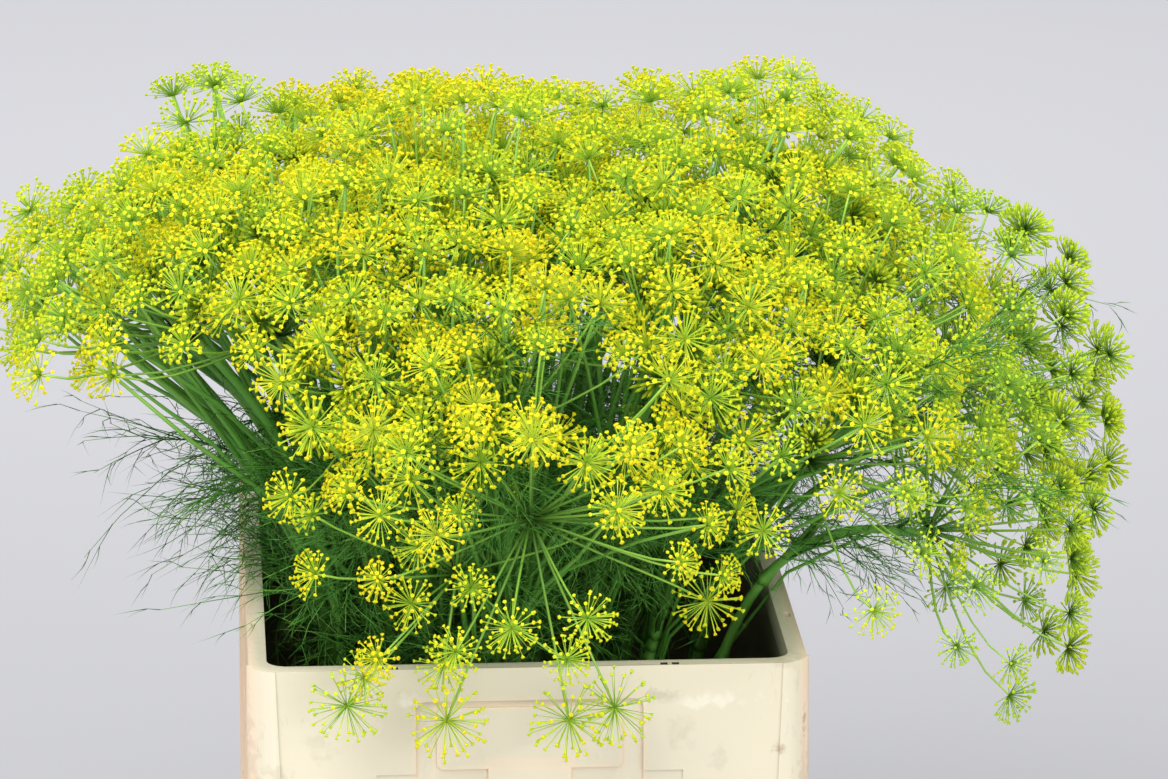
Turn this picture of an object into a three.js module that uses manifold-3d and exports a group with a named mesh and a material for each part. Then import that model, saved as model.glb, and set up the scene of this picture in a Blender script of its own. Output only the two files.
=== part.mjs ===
// A bunch of flowering dill standing in a plastic flower tub, in millimetres, +Z up.
// The origin is the middle of the tub's base, -Y is the front and +X the right.
// Each cut stem is a leafy green solid with its flower head, a compound umbel, as a second solid on its tip.
import * as THREE from "three";
import { mergeVertices } from "three/addons/utils/BufferGeometryUtils.js";
import Module from "manifold-3d";

const wasm = await Module();
wasm.setup();

// ---- Driving dimensions ----
const GAP = 0.4; // clear space left between pieces that touch

// The tub: an oblong tub with corner posts, a thicker rim and a sunk panel in each side.
const TUB = { width: 300, depth: 400, height: 370, corner: 24, floor: 6 };
const WALL = { thick: 6, rimWidth: 12, rimDepth: 16 };
const POST = { top: 16, foot: 30, proud: 2.5 }; // the posts widen towards the floor
const PANEL = { width: 120, sideWidth: 236, top: 352, foot: 60, depth: 2.5 };
const HANDLE = { width: 98, top: 348, barFoot: 314, stem: 44, stemFoot: 262, rise: 1.5 }; // T-shaped pad
const OVERCUT = 5; // how far cutting blocks reach past the faces they cut
const WATER_LEVEL = 110;

// The stems, which stand in an oval in the tub, rise through its mouth and bend out to their heads.
const STEM_COUNT = 28;
const STEM = { foot: 3.6, tip: 2.4, sides: 5, steps: 5 };
const FOOT_SPREAD = { x: 96, y: 140 };
const ELBOW = { leanIn: 0.08, start: 0.7, bend: 0.3, x: 102, y: 154, aboveRim: 50 };
const GOLDEN_ANGLE = Math.PI * (3 - Math.sqrt(5)); // turn from one stem or ray to the next
const FIRST_TURN = 0.9;

// The dome that the heads lie on.
const CROWN = { x: 16, y: -10, z: 444 }; // its middle
const REACH = { x: 222, y: 208, z: 94 }; // its half-axes
const FULLNESS = 0.75; // under 1 makes its shoulders fuller
const CROWDING = 1.12; // over 1 brings the heads closer to its middle
const LOWEST_TURN = 1.1; // 1 would end it at its equator, more goes below
const SLUMP = { right: 40, left: -60, front: 38 }; // how far its skirt hangs there
const LAYERING = 0.1; // share by which heads stand out of it or sink into it
const NUDGE = { // heads moved off it
  5: [0, 0, 16], 11: [0, 0, -18], 13: [4, 0, 6], 14: [6, 0, -15], 16: [0, 0, -21], 17: [34, 0, 16],
  18: [-2, 0, 3], 20: [-64, 0, 16], 21: [0, 0, 10], 22: [4, 0, 14], 24: [0, 0, -4], 25: [20, 0, -12],
};
const LIFT = { all: 0.2, left: 1.3 }; // how far heads turn up from its own normal

// A head: rays that spring from a knob on the stem's tip, each with an umbellet of florets.
const HEAD = { core: 6, sunk: 2, rays: 14, widest: 82, narrowLeft: 24 };
const RAY = { length: 88, varies: 0.12, jitter: 0.08, flare: 0.2, root: 1.5, tip: 1.1, sides: 3, neck: 2 };
const UMBELLET = { points: 5, radius: 22, rise: 11, valley: 9.5, valleyRise: 3, crown: 7 };
const FIT = { shortest: 36, trim: 3, tests: 12, slack: 2.5 }; // how rays shorten to clear their neighbours
const LEAFY = { from: -190, to: -92, below: 495 }; // where only leaves and stems show, on the left
// The head in the middle of the front, whose hub and rays show because no umbellet hangs before them.
const FAN = { head: 20, clear: 40, outwards: new THREE.Vector3(0, -0.966, 0.259) };
// The umbellets that hang before the tub, each with the head that carries it. Others stay above the rim.
const HANGING = [
  { head: 25, tip: [-97, -226, 360] }, { head: 20, tip: [-45, -226, 351] },
  { head: 20, tip: [19, -226, 350] }, { head: 20, tip: [43, -226, 356] },
];
const HANG_ABOVE = { rim: 6, slope: 0.27 }; // more so the further they stand before the tub

// A frond: a thin arched blade, cut to its rib into threads that point forwards.
const FROND = { length: 100, threads: 5, thread: 36, rib: 0.8, cut: 2.2, thick: 0.9, root: 4, point: 12 };
const THREAD = { first: 0.25, range: 0.65, sweep: 0.8 }; // how long they are along the frond, and their lean
const ARCH = { rise: 40, over: 1.5, droop: 0.006 }; // up and over along the rib, and down to both sides
const FROND_SEAT = { aboveRim: 22, stems: [15, 17, 18, 19, 20, 23] }; // which stems have one, and where

const COLOUR = { tub: 0xf1e8cf, water: 0xb9cdbb, stem: 0x3f8a2a, head: 0xc9d922 };
const ROUGHNESS = { tub: 0.55, water: 0.1, stem: 0.6, head: 0.65 };

// ---- Small helpers ----
const UP = new THREE.Vector3(0, 0, 1);

// A repeatable number from -1 to 1 for item i of series s.
function wobble(i, s) {
  const v = Math.sin(i * 12.9898 + s * 78.233) * 43758.5453;
  return 2 * (v - Math.floor(v)) - 1;
}

// A closed skin over rings of points, which may differ in their number of points.
// A ring of one point closes an end, and each face is added on the ring that lags behind.
function loft(rings) {
  const index = [];
  let start = 0;
  for (let r = 0; r + 1 < rings.length; r++) {
    const [low, high] = [rings[r].length, rings[r + 1].length];
    const below = (n) => start + (n % low);
    const above = (n) => start + low + (n % high);
    let [i, j] = [0, 0];
    while (i < low || j < high) {
      if (j === high || (i < low && (i + 1) * high <= (j + 1) * low)) {
        if (low > 1) index.push(below(i), below(i + 1), above(j));
        i++;
      } else {
        if (high > 1) index.push(below(i), above(j + 1), above(j));
        j++;
      }
    }
    start += low;
  }
  return new THREE.BufferGeometry().setFromPoints(rings.flat()).setIndex(index);
}

// A ring of points round a centre. radii and rises are taken in turn, so that two make a star.
function ring(centre, a, b, count, radii, rises = [0], along = UP) {
  return Array.from({ length: count }, (_, i) => {
    const turn = (2 * Math.PI * i) / count;
    const radius = radii[i % radii.length];
    return centre.clone()
      .addScaledVector(a, radius * Math.cos(turn))
      .addScaledVector(b, radius * Math.sin(turn))
      .addScaledVector(along, rises[i % rises.length]);
  });
}

// A tapering rod of a few sides along a curve, closed at both ends.
function rod(curve, steps, sides, radiusAt) {
  const { normals, binormals } = curve.computeFrenetFrames(steps, false);
  const rings = normals.map((normal, s) =>
    ring(curve.getPoint(s / steps), normal, binormals[s], sides, [radiusAt(s / steps)]));
  return loft([[curve.getPoint(0)], ...rings, [curve.getPoint(1)]]);
}

// Two directions square to v and to each other.
function across(v) {
  const side = Math.abs(v.z) < 0.9 ? UP : new THREE.Vector3(1, 0, 0);
  const a = new THREE.Vector3().crossVectors(side, v).normalize();
  return [a, new THREE.Vector3().crossVectors(v, a)];
}

// A direction that leans by angle from axis, turned by turn about it.
function lean(axis, angle, turn) {
  const [a, b] = across(axis);
  return axis.clone().multiplyScalar(Math.cos(angle))
    .addScaledVector(a, Math.sin(angle) * Math.cos(turn))
    .addScaledVector(b, Math.sin(angle) * Math.sin(turn));
}

// A closed three.js geometry as a solid that can be joined and cut.
function solid(geometry) {
  const bare = geometry.clone();
  for (const name of Object.keys(bare.attributes)) {
    if (name !== "position") bare.deleteAttribute(name);
  }
  const merged = mergeVertices(bare, 1e-4);
  const vertProperties = new Float32Array(merged.attributes.position.array);
  const triVerts = new Uint32Array(merged.index.array);
  const made = new wasm.Manifold(new wasm.Mesh({ numProp: 3, vertProperties, triVerts }));
  if (made.volume() > 0) return made;
  for (let i = 0; i < triVerts.length; i += 3) {
    [triVerts[i + 1], triVerts[i + 2]] = [triVerts[i + 2], triVerts[i + 1]];
  }
  return new wasm.Manifold(new wasm.Mesh({ numProp: 3, vertProperties, triVerts }));
}

function join(solids) {
  return solids.reduce((whole, piece) => whole.add(piece));
}

// A named mesh from a solid.
function node(name, shape, color, roughness) {
  const mesh = shape.getMesh();
  const geometry = new THREE.BufferGeometry();
  const positions = new Float32Array(mesh.vertProperties);
  geometry.setAttribute("position", new THREE.BufferAttribute(positions, 3));
  geometry.setIndex(new THREE.BufferAttribute(new Uint32Array(mesh.triVerts), 1));
  geometry.computeVertexNormals();
  const material = new THREE.MeshStandardMaterial({ color, roughness, metalness: 0 });
  const made = new THREE.Mesh(geometry, material);
  made.name = name;
  return made;
}

// ---- Tub ----
function roundedBlock(width, depth, corner, low, high) {
  const [x, y] = [width / 2, depth / 2];
  const outline = new THREE.Shape();
  outline.moveTo(-x + corner, -y);
  outline.lineTo(x - corner, -y);
  outline.absarc(x - corner, -y + corner, corner, -Math.PI / 2, 0);
  outline.lineTo(x, y - corner);
  outline.absarc(x - corner, y - corner, corner, 0, Math.PI / 2);
  outline.lineTo(-x + corner, y);
  outline.absarc(-x + corner, y - corner, corner, Math.PI / 2, Math.PI);
  outline.lineTo(-x, -y + corner);
  outline.absarc(-x + corner, -y + corner, corner, Math.PI, 1.5 * Math.PI);
  const block = new THREE.ExtrudeGeometry(outline, {
    depth: high - low, bevelEnabled: false, curveSegments: 5,
  });
  return solid(block.translate(0, 0, low));
}

function box(x0, x1, y0, y1, z0, z1) {
  const block = new THREE.BoxGeometry(x1 - x0, y1 - y0, z1 - z0);
  return solid(block.translate((x0 + x1) / 2, (y0 + y1) / 2, (z0 + z1) / 2));
}

// What is cut off a face between two corner posts, leaving the posts proud.
function faceCut(half) {
  const top = TUB.height + OVERCUT;
  const outline = new THREE.Shape([
    new THREE.Vector2(-half + POST.foot, -1),
    new THREE.Vector2(half - POST.foot, -1),
    new THREE.Vector2(half - POST.top, top),
    new THREE.Vector2(-half + POST.top, top),
  ]);
  const slab = new THREE.ExtrudeGeometry(outline, { depth: POST.proud + OVERCUT, bevelEnabled: false });
  return slab.rotateX(Math.PI / 2).translate(0, POST.proud, 0);
}

// The sunk panel of the front, with its T-shaped pad left standing.
function endPanel() {
  const face = -TUB.depth / 2 + POST.proud;
  const bottom = face + PANEL.depth;
  const pad = (width, low, high) =>
    box(-width / 2, width / 2, bottom - HANDLE.rise, bottom + 1, low, high);
  return box(-PANEL.width / 2, PANEL.width / 2, face - OVERCUT, bottom, PANEL.foot, PANEL.top)
    .subtract(pad(HANDLE.width, HANDLE.barFoot, HANDLE.top))
    .subtract(pad(HANDLE.stem, HANDLE.stemFoot, HANDLE.barFoot + 1));
}

function sidePanel() {
  const face = TUB.width / 2 - POST.proud;
  const half = PANEL.sideWidth / 2;
  return box(face - PANEL.depth, face + OVERCUT, -half, half, PANEL.foot, PANEL.top);
}

function makeTub() {
  let body = roundedBlock(TUB.width, TUB.depth, TUB.corner, 0, TUB.height);
  const front = solid(faceCut(TUB.width / 2).translate(0, -TUB.depth / 2, 0));
  const side = solid(faceCut(TUB.depth / 2).rotateZ(Math.PI / 2).translate(TUB.width / 2, 0, 0));
  for (const cut of [front, side, endPanel(), sidePanel()]) {
    body = body.subtract(cut).subtract(cut.rotate([0, 0, 180]));
  }
  const inset = 2 * (WALL.thick + POST.proud);
  const inner = TUB.corner - WALL.thick;
  const cavity = roundedBlock(TUB.width - inset, TUB.depth - inset, inner,
    TUB.floor, TUB.height - WALL.rimDepth);
  const mouth = roundedBlock(TUB.width - 2 * WALL.rimWidth, TUB.depth - 2 * WALL.rimWidth, inner,
    TUB.height - WALL.rimDepth - 1, TUB.height + 1);
  return body.subtract(cavity).subtract(mouth);
}

// ---- Where the stems stand and the heads lie ----
function placeHead(k) {
  const share = (k + 0.5) / STEM_COUNT;
  const polar = Math.acos(1 - LOWEST_TURN * share ** CROWDING);
  const turn = FIRST_TURN + k * GOLDEN_ANGLE;
  const out = new THREE.Vector3(
    Math.sin(polar) * Math.cos(turn), Math.sin(polar) * Math.sin(turn), Math.cos(polar));
  const swell = 1 + LAYERING * wobble(k, 1);
  const height = Math.sign(out.z) * Math.abs(out.z) ** FULLNESS;
  const skirt = 1 - Math.abs(out.z);
  const leftness = Math.max(0, -out.x);
  const sideways = SLUMP.right * Math.max(0, out.x) + SLUMP.left * leftness;
  const slump = (sideways - SLUMP.front * out.y) * skirt;
  const centre = new THREE.Vector3(
    CROWN.x + REACH.x * out.x * swell,
    CROWN.y + REACH.y * out.y * swell,
    CROWN.z + REACH.z * height * swell - slump);
  centre.add(new THREE.Vector3(...(NUDGE[k] ?? [0, 0, 0])));
  const lift = LIFT.all + LIFT.left * leftness;
  const axis = out.clone().addScaledVector(UP, lift).normalize();
  const spread = Math.sqrt(share);
  const foot = new THREE.Vector3(
    FOOT_SPREAD.x * spread * Math.cos(turn), FOOT_SPREAD.y * spread * Math.sin(turn),
    TUB.floor + GAP);
  const ray = RAY.length * (1 + RAY.varies * wobble(k, 0));
  const widest = THREE.MathUtils.degToRad(HEAD.widest - HEAD.narrowLeft * leftness * skirt);
  return { k, centre, axis, out, foot, ray, widest, rays: [] };
}

// A stem rises straight inside the tub's mouth, and bends over the rim and out to its head.
function stemCurve(head) {
  const top = head.centre.clone().addScaledVector(head.axis, -HEAD.core - GAP);
  const rise = head.foot.clone().lerp(new THREE.Vector3(top.x, top.y, head.foot.z), ELBOW.leanIn);
  rise.z = ELBOW.start * top.z;
  const elbow = top.clone().addScaledVector(head.axis, -ELBOW.bend * top.z);
  elbow.x = THREE.MathUtils.clamp(elbow.x, -ELBOW.x, ELBOW.x);
  elbow.y = THREE.MathUtils.clamp(elbow.y, -ELBOW.y, ELBOW.y);
  elbow.z = Math.max(elbow.z, TUB.height + ELBOW.aboveRim);
  return new THREE.CubicBezierCurve3(head.foot, rise, elbow, top);
}

const heads = Array.from({ length: STEM_COUNT }, (_, k) => placeHead(k));
const curves = heads.map(stemCurve);
// Each stem as the straight runs that its solid is made of.
const stemRuns = curves.map((curve) => {
  const points = curve.getPoints(STEM.steps);
  return points.slice(1).map((point, i) => new THREE.Line3(points[i], point));
});

// ---- Flower heads ----
const UMBELLET_REACH = Math.hypot(UMBELLET.radius, UMBELLET.rise / 2);

// A possible ray of a head: its line, points along that line and the middle of its umbellet.
function tryRay(head, direction, length) {
  const tip = head.centre.clone().addScaledVector(direction, length);
  const line = new THREE.Line3(head.centre, tip);
  const points = Array.from({ length: FIT.tests },
    (_, n) => line.at((n + 1) / FIT.tests, new THREE.Vector3()));
  const middle = tip.clone().addScaledVector(direction, UMBELLET.rise / 2);
  return { head, direction, length, line, points, middle };
}

function distance(point, line) {
  return line.closestPointToPoint(point, true, new THREE.Vector3()).distanceTo(point);
}

// True if a ray and its umbellet keep off a straight rod.
function clearOfRod(ray, line, radius) {
  return distance(ray.middle, line) > UMBELLET_REACH + radius + GAP
    && ray.points.every((point) => distance(point, line) > RAY.root + radius + FIT.slack);
}

// True if a ray and its umbellet keep off all that grows from the other stems, and off the ray's own stem.
function clearOfStems(ray) {
  const ownStem = stemRuns[ray.head.k].at(-1);
  if (ray.points.some((point) => distance(point, ownStem) < RAY.root + STEM.tip + GAP)) return false;
  for (const other of heads) {
    if (other === ray.head) continue;
    if (distance(other.centre, ray.line) < HEAD.core + RAY.root + GAP) return false;
    if (!stemRuns[other.k].every((run) => clearOfRod(ray, run, STEM.foot))) return false;
    for (const set of other.rays) {
      if (ray.middle.distanceTo(set.middle) < 2 * UMBELLET_REACH + GAP) return false;
      if (distance(set.middle, ray.line) < UMBELLET_REACH + RAY.root + GAP) return false;
      if (!clearOfRod(ray, set.line, RAY.root)) return false;
    }
  }
  return true;
}

// True if a ray and its umbellet stay out of the tub and off its rim.
function clearOfTub(ray) {
  const inTub = (point, reach) => point.z < TUB.height + reach
    && Math.abs(point.x) < TUB.width / 2 + reach && Math.abs(point.y) < TUB.depth / 2 + reach;
  return !inTub(ray.middle, UMBELLET_REACH + GAP)
    && !ray.points.some((point) => inTub(point, RAY.root + FIT.slack));
}

function hangsOverLeaves({ middle }) {
  return middle.x > LEAFY.from && middle.x < LEAFY.to && middle.z < LEAFY.below;
}

function hangsBeforeHub({ middle }) {
  const offset = middle.clone().sub(heads[FAN.head].centre);
  const ahead = offset.dot(FAN.outwards);
  return ahead > 0 && offset.addScaledVector(FAN.outwards, -ahead).length() < FAN.clear;
}

function hangsBeforeTub({ middle }) {
  const before = -TUB.depth / 2 - middle.y;
  return before > 0 && middle.z < TUB.height + HANG_ABOVE.rim + HANG_ABOVE.slope * before;
}

function fits(ray) {
  const open = !hangsOverLeaves(ray) && !hangsBeforeHub(ray) && !hangsBeforeTub(ray);
  return open && clearOfTub(ray) && clearOfStems(ray);
}

// Gives each head its rays: the hanging ones, then one to each head in turn, from the middle outwards.
// A ray is shortened until it clears what stands next to it, or left out.
function growRays() {
  for (const { head, tip } of HANGING) {
    const along = new THREE.Vector3(...tip).sub(heads[head].centre);
    heads[head].rays.push(tryRay(heads[head], along.clone().normalize(), along.length()));
  }
  for (let r = 0; r < HEAD.rays; r++) {
    for (const head of heads) {
      const angle = Math.acos(1 - ((r + 0.5) / HEAD.rays) * (1 - Math.cos(head.widest)));
      const direction = lean(head.axis, angle, r * GOLDEN_ANGLE + head.k);
      const flare = RAY.flare * Math.sin(angle) ** 2;
      let length = head.ray * (1 + flare + RAY.jitter * wobble(r, head.k + 2));
      let ray = tryRay(head, direction, length);
      while (length >= FIT.shortest && !fits(ray)) {
        length -= FIT.trim;
        ray = tryRay(head, direction, length);
      }
      if (length >= FIT.shortest) head.rays.push(ray);
    }
  }
}

// A ray of the umbel and the umbellet on it: a cup of pointed sprays of florets, open outwards.
function rayWithUmbellet(centre, direction, length) {
  const [a, b] = across(direction);
  const at = (distance) => centre.clone().addScaledVector(direction, distance);
  return loft([
    [at(0)],
    ring(at(HEAD.sunk), a, b, RAY.sides, [RAY.root]),
    ring(at(length - RAY.neck), a, b, RAY.sides, [RAY.tip]),
    ring(at(length), a, b, 2 * UMBELLET.points, [UMBELLET.radius, UMBELLET.valley],
      [UMBELLET.rise, UMBELLET.valleyRise], direction),
    [at(length + UMBELLET.crown)],
  ]);
}

function makeHead(head) {
  const core = new THREE.IcosahedronGeometry(HEAD.core, 0);
  const pieces = [core.translate(head.centre.x, head.centre.y, head.centre.z)];
  for (const { direction, length } of head.rays) {
    pieces.push(rayWithUmbellet(head.centre, direction, length));
  }
  return join(pieces.map(solid));
}

// ---- Stems and fronds ----
// The flat outline of a frond: its threads down one side, the tip, and back up the other.
function frondBlade() {
  const step = FROND.length / FROND.threads;
  const threads = Array.from({ length: FROND.threads }, (_, i) => {
    const root = (i + 0.5) * step;
    const reach = FROND.thread * Math.sin(Math.PI * (THREAD.first + (THREAD.range * i) / FROND.threads));
    return [[root, FROND.rib], [root + THREAD.sweep * reach, reach], [root + FROND.cut, FROND.rib]];
  }).flat();
  const side = [[-FROND.root, FROND.rib], ...threads];
  const outline = [
    ...side.map(([x, y]) => new THREE.Vector2(x, -y)),
    new THREE.Vector2(FROND.length + FROND.point, 0),
    ...side.reverse().map(([x, y]) => new THREE.Vector2(x, y)),
  ];
  return new THREE.ExtrudeGeometry(new THREE.Shape(outline), { depth: FROND.thick, bevelEnabled: false });
}

// The blade laid outwards from the stem, arched up and over along its length.
function makeFrond(head, curve) {
  const blade = frondBlade();
  const from = curve.getPoints(40).find((point) => point.z > TUB.height + FROND_SEAT.aboveRim);
  const out = new THREE.Vector3(head.out.x, head.out.y, 0).normalize();
  const sideways = new THREE.Vector3().crossVectors(UP, out);
  const spots = blade.attributes.position;
  for (let i = 0; i < spots.count; i++) {
    const [x, y, z] = [spots.getX(i), spots.getY(i), spots.getZ(i)];
    const share = x / FROND.length;
    const rise = z + ARCH.rise * share * (ARCH.over - share) - ARCH.droop * y * y;
    const spot = from.clone().addScaledVector(out, x).addScaledVector(sideways, y).addScaledVector(UP, rise);
    spots.setXYZ(i, spot.x, spot.y, spot.z);
  }
  return solid(blade);
}

function makeStem(head, curve) {
  const radiusAt = (t) => THREE.MathUtils.lerp(STEM.foot, STEM.tip, t);
  const stem = solid(rod(curve, STEM.steps, STEM.sides, radiusAt));
  return FROND_SEAT.stems.includes(head.k + 1) ? stem.add(makeFrond(head, curve)) : stem;
}

// Water with a plain four-sided hole round the straight lower end of each stem.
function makeWater() {
  const inset = 2 * (WALL.thick + POST.proud + GAP);
  let body = roundedBlock(TUB.width - inset, TUB.depth - inset, TUB.corner - WALL.thick,
    TUB.floor + GAP, WATER_LEVEL);
  const radius = STEM.foot * Math.SQRT2 + GAP;
  for (const curve of curves) {
    const up = curve.getPoint(1 / STEM.steps);
    const low = curve.getPoint(0).lerp(up, -0.1);
    body = body.subtract(solid(rod(new THREE.LineCurve3(low, up), 1, 4, () => radius)));
  }
  return body;
}

// ---- The object ----
growRays();
const bunch = new THREE.Group();
bunch.add(node("tub", makeTub(), COLOUR.tub, ROUGHNESS.tub));
bunch.add(node("water", makeWater(), COLOUR.water, ROUGHNESS.water));
for (const head of heads) {
  const number = String(head.k + 1).padStart(2, "0");
  bunch.add(node("stem_" + number, makeStem(head, curves[head.k]), COLOUR.stem, ROUGHNESS.stem));
  bunch.add(node("umbel_" + number, makeHead(head), COLOUR.head, ROUGHNESS.head));
}

export default bunch;
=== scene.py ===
# A tub of flowering dill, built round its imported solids: moulded tub, water, leafy stems and fine umbels.
import math

import bmesh
import bpy
import numpy as np
from bpy.props import FloatProperty, FloatVectorProperty, IntProperty, PointerProperty
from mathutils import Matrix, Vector


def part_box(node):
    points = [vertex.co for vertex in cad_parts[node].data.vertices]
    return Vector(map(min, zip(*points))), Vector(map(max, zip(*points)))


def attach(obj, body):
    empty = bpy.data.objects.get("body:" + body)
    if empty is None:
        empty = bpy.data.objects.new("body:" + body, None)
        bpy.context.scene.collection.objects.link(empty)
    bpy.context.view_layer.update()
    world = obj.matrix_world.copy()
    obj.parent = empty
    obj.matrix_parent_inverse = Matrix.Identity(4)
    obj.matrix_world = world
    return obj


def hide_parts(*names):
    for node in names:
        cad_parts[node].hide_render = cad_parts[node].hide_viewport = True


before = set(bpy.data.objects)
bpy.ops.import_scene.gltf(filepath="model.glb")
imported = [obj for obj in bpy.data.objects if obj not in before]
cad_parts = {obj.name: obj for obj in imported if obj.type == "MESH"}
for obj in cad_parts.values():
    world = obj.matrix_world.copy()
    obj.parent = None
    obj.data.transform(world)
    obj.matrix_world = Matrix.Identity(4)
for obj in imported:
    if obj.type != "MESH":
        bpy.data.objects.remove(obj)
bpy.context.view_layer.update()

bl_info = {
    "name": "Dill Bunch",
    "version": (1, 0, 0),
    "blender": (4, 5, 0),
    "location": "3D View > Sidebar > Dill",
    "description": "Models a bunch of flowering dill in a flower tub",
    "category": "Add Mesh",
}

TUB_LOW, TUB_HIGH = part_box("tub")
MM = 0.001
UP = np.array([0, 0, 1.0])

# ---------------------------------------------------------------- How the stems stand and the heads lie
# These repeat the solids' own rule, in metres, so that each fine piece stands where its solid does.
STEM_COUNT = 28
GOLDEN_ANGLE = math.pi * (3 - math.sqrt(5))
FIRST_TURN = 0.9
FOOT_SPREAD = np.array([96, 140]) * MM
FOOT_HEIGHT = 6.4 * MM
CROWN = np.array([16, -10, 444]) * MM
REACH = np.array([222, 208, 94]) * MM
FULLNESS = 0.75
CROWDING = 1.12
LOWEST_TURN = 1.1
SLUMP_RIGHT = 40 * MM
SLUMP_LEFT = -60 * MM
SLUMP_FRONT = 38 * MM
LAYERING = 0.1
NUDGE = {5: (0, 0, 16), 11: (0, 0, -18), 13: (4, 0, 6), 14: (6, 0, -15), 16: (0, 0, -21), 17: (34, 0, 16),
         18: (-2, 0, 3), 20: (-64, 0, 16), 21: (0, 0, 10), 22: (4, 0, 14), 24: (0, 0, -4), 25: (20, 0, -12)}
LIFT_ALL = 0.2
LIFT_LEFT = 1.3
NARROW_LEFT = math.radians(24)
KNOB = 6 * MM
KNOB_GAP = 0.4 * MM
RAY_LENGTH = 88 * MM
RAY_VARIES = 0.12
ELBOW_LEAN = 0.08
ELBOW_START = 0.7
ELBOW_BEND = 0.3
ELBOW_X = 102 * MM
ELBOW_Y = 154 * MM
ELBOW_ABOVE_RIM = 50 * MM


def wobble(i, s):
    """A repeatable number from -1 to 1 for item i of series s."""
    v = math.sin(i * 12.9898 + s * 78.233) * 43758.5453
    return 2 * (v - math.floor(v)) - 1


def unit(v):
    return v / np.linalg.norm(v, axis=-1, keepdims=True)


class Head:
    """One flower head: where it sits, where it faces, and the stem that carries it."""

    def __init__(self, k):
        share = (k + 0.5) / STEM_COUNT
        polar = math.acos(1 - LOWEST_TURN * share**CROWDING)
        turn = FIRST_TURN + k * GOLDEN_ANGLE
        out = np.array([math.sin(polar) * math.cos(turn), math.sin(polar) * math.sin(turn), math.cos(polar)])
        swell = 1 + LAYERING * wobble(k, 1)
        height = math.copysign(abs(out[2]) ** FULLNESS, out[2])
        self.k, self.out = k, out
        self.skirt = 1 - abs(out[2])
        self.right, self.left = max(0, out[0]), max(0, -out[0])
        slump = (SLUMP_RIGHT * self.right + SLUMP_LEFT * self.left - SLUMP_FRONT * out[1]) * self.skirt
        self.centre = CROWN + REACH * np.array([out[0], out[1], height]) * swell - slump * UP
        self.centre = self.centre + np.array(NUDGE.get(k, (0, 0, 0))) * MM
        self.narrowed = NARROW_LEFT * self.left * self.skirt
        self.axis = unit(out + (LIFT_ALL + LIFT_LEFT * self.left) * UP)
        self.ray = RAY_LENGTH * (1 + RAY_VARIES * wobble(k, 0))
        foot_x, foot_y = FOOT_SPREAD * math.sqrt(share) * np.array([math.cos(turn), math.sin(turn)])
        self.stem = self.stem_route(np.array([foot_x, foot_y, FOOT_HEIGHT]))

    def stem_route(self, foot):
        """The four control points of the stem's curve, from its cut end to its head."""
        top = self.centre - self.axis * (KNOB + KNOB_GAP)
        rise = foot + ELBOW_LEAN * (np.array([top[0], top[1], foot[2]]) - foot)
        rise[2] = ELBOW_START * top[2]
        elbow = top - self.axis * ELBOW_BEND * top[2]
        elbow[0] = np.clip(elbow[0], -ELBOW_X, ELBOW_X)
        elbow[1] = np.clip(elbow[1], -ELBOW_Y, ELBOW_Y)
        elbow[2] = max(elbow[2], TUB_HIGH.z + ELBOW_ABOVE_RIM)
        return np.array([foot, rise, elbow, top])


# ---------------------------------------------------------------- Sizes and colours to change
def linear(hex_colour):
    """An sRGB colour such as "#f1e8cf" as linear red, green and blue."""
    channels = [int(hex_colour[i:i + 2], 16) / 255 for i in (1, 3, 5)]
    return tuple(c / 12.92 if c <= 0.04045 else ((c + 0.055) / 1.055) ** 2.4 for c in channels)


def size(name, millimetres, description):
    return FloatProperty(name=name, description=description, default=millimetres * MM, subtype="DISTANCE")


def angle(name, degrees, description):
    return FloatProperty(name=name, description=description, default=math.radians(degrees), subtype="ANGLE")


def power(name, watts, description):
    return FloatProperty(name=name, description=description, default=watts, subtype="POWER")


def count(name, number, description):
    return IntProperty(name=name, description=description, default=number, min=1)


def colour(name, hex_colour, description):
    return FloatVectorProperty(name=name, description=description, default=linear(hex_colour), size=3,
                               subtype="COLOR", min=0, max=1)


class TubSettings(bpy.types.PropertyGroup):
    corner: size("Corner radius", 24, "Rounding of the tub's four upright corners")
    wall: size("Wall", 8.5, "Distance from the outside of the posts to the inside of the tub")
    floor: size("Floor", 6, "Thickness of the bottom")
    rim_width: size("Rim width", 12, "Width of the rim seen from above")
    rim_depth: size("Rim depth", 16, "Height of the thicker rim")
    post_top: size("Post width at the top", 16, "Width of a corner post under the rim")
    post_foot: size("Post width at the foot", 30, "Width of a corner post at the floor")
    post_proud: size("Post height", 2.5, "How far the corner posts stand out of the faces")
    panel_width: size("Panel width", 120, "Width of the sunk panel in the short sides")
    side_panel_width: size("Side panel width", 236, "Width of the sunk panel in the long sides")
    panel_top: size("Panel top", 352, "Height of the upper edge of the panels")
    panel_foot: size("Panel foot", 60, "Height of the lower edge of the panels")
    panel_depth: size("Panel depth", 2.5, "How far the panels are sunk")
    edge: size("Edge rounding", 1.4, "Rounding of every moulded edge")
    cream: colour("Cream", "#cfc7b1", "Colour of the clean plastic")
    warm: colour("Warm edge", "#e8cdb2", "Warmer tone of the thick corners and long sides")
    dirt: colour("Dirt", "#a89c80", "Colour of the scuffs")


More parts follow.
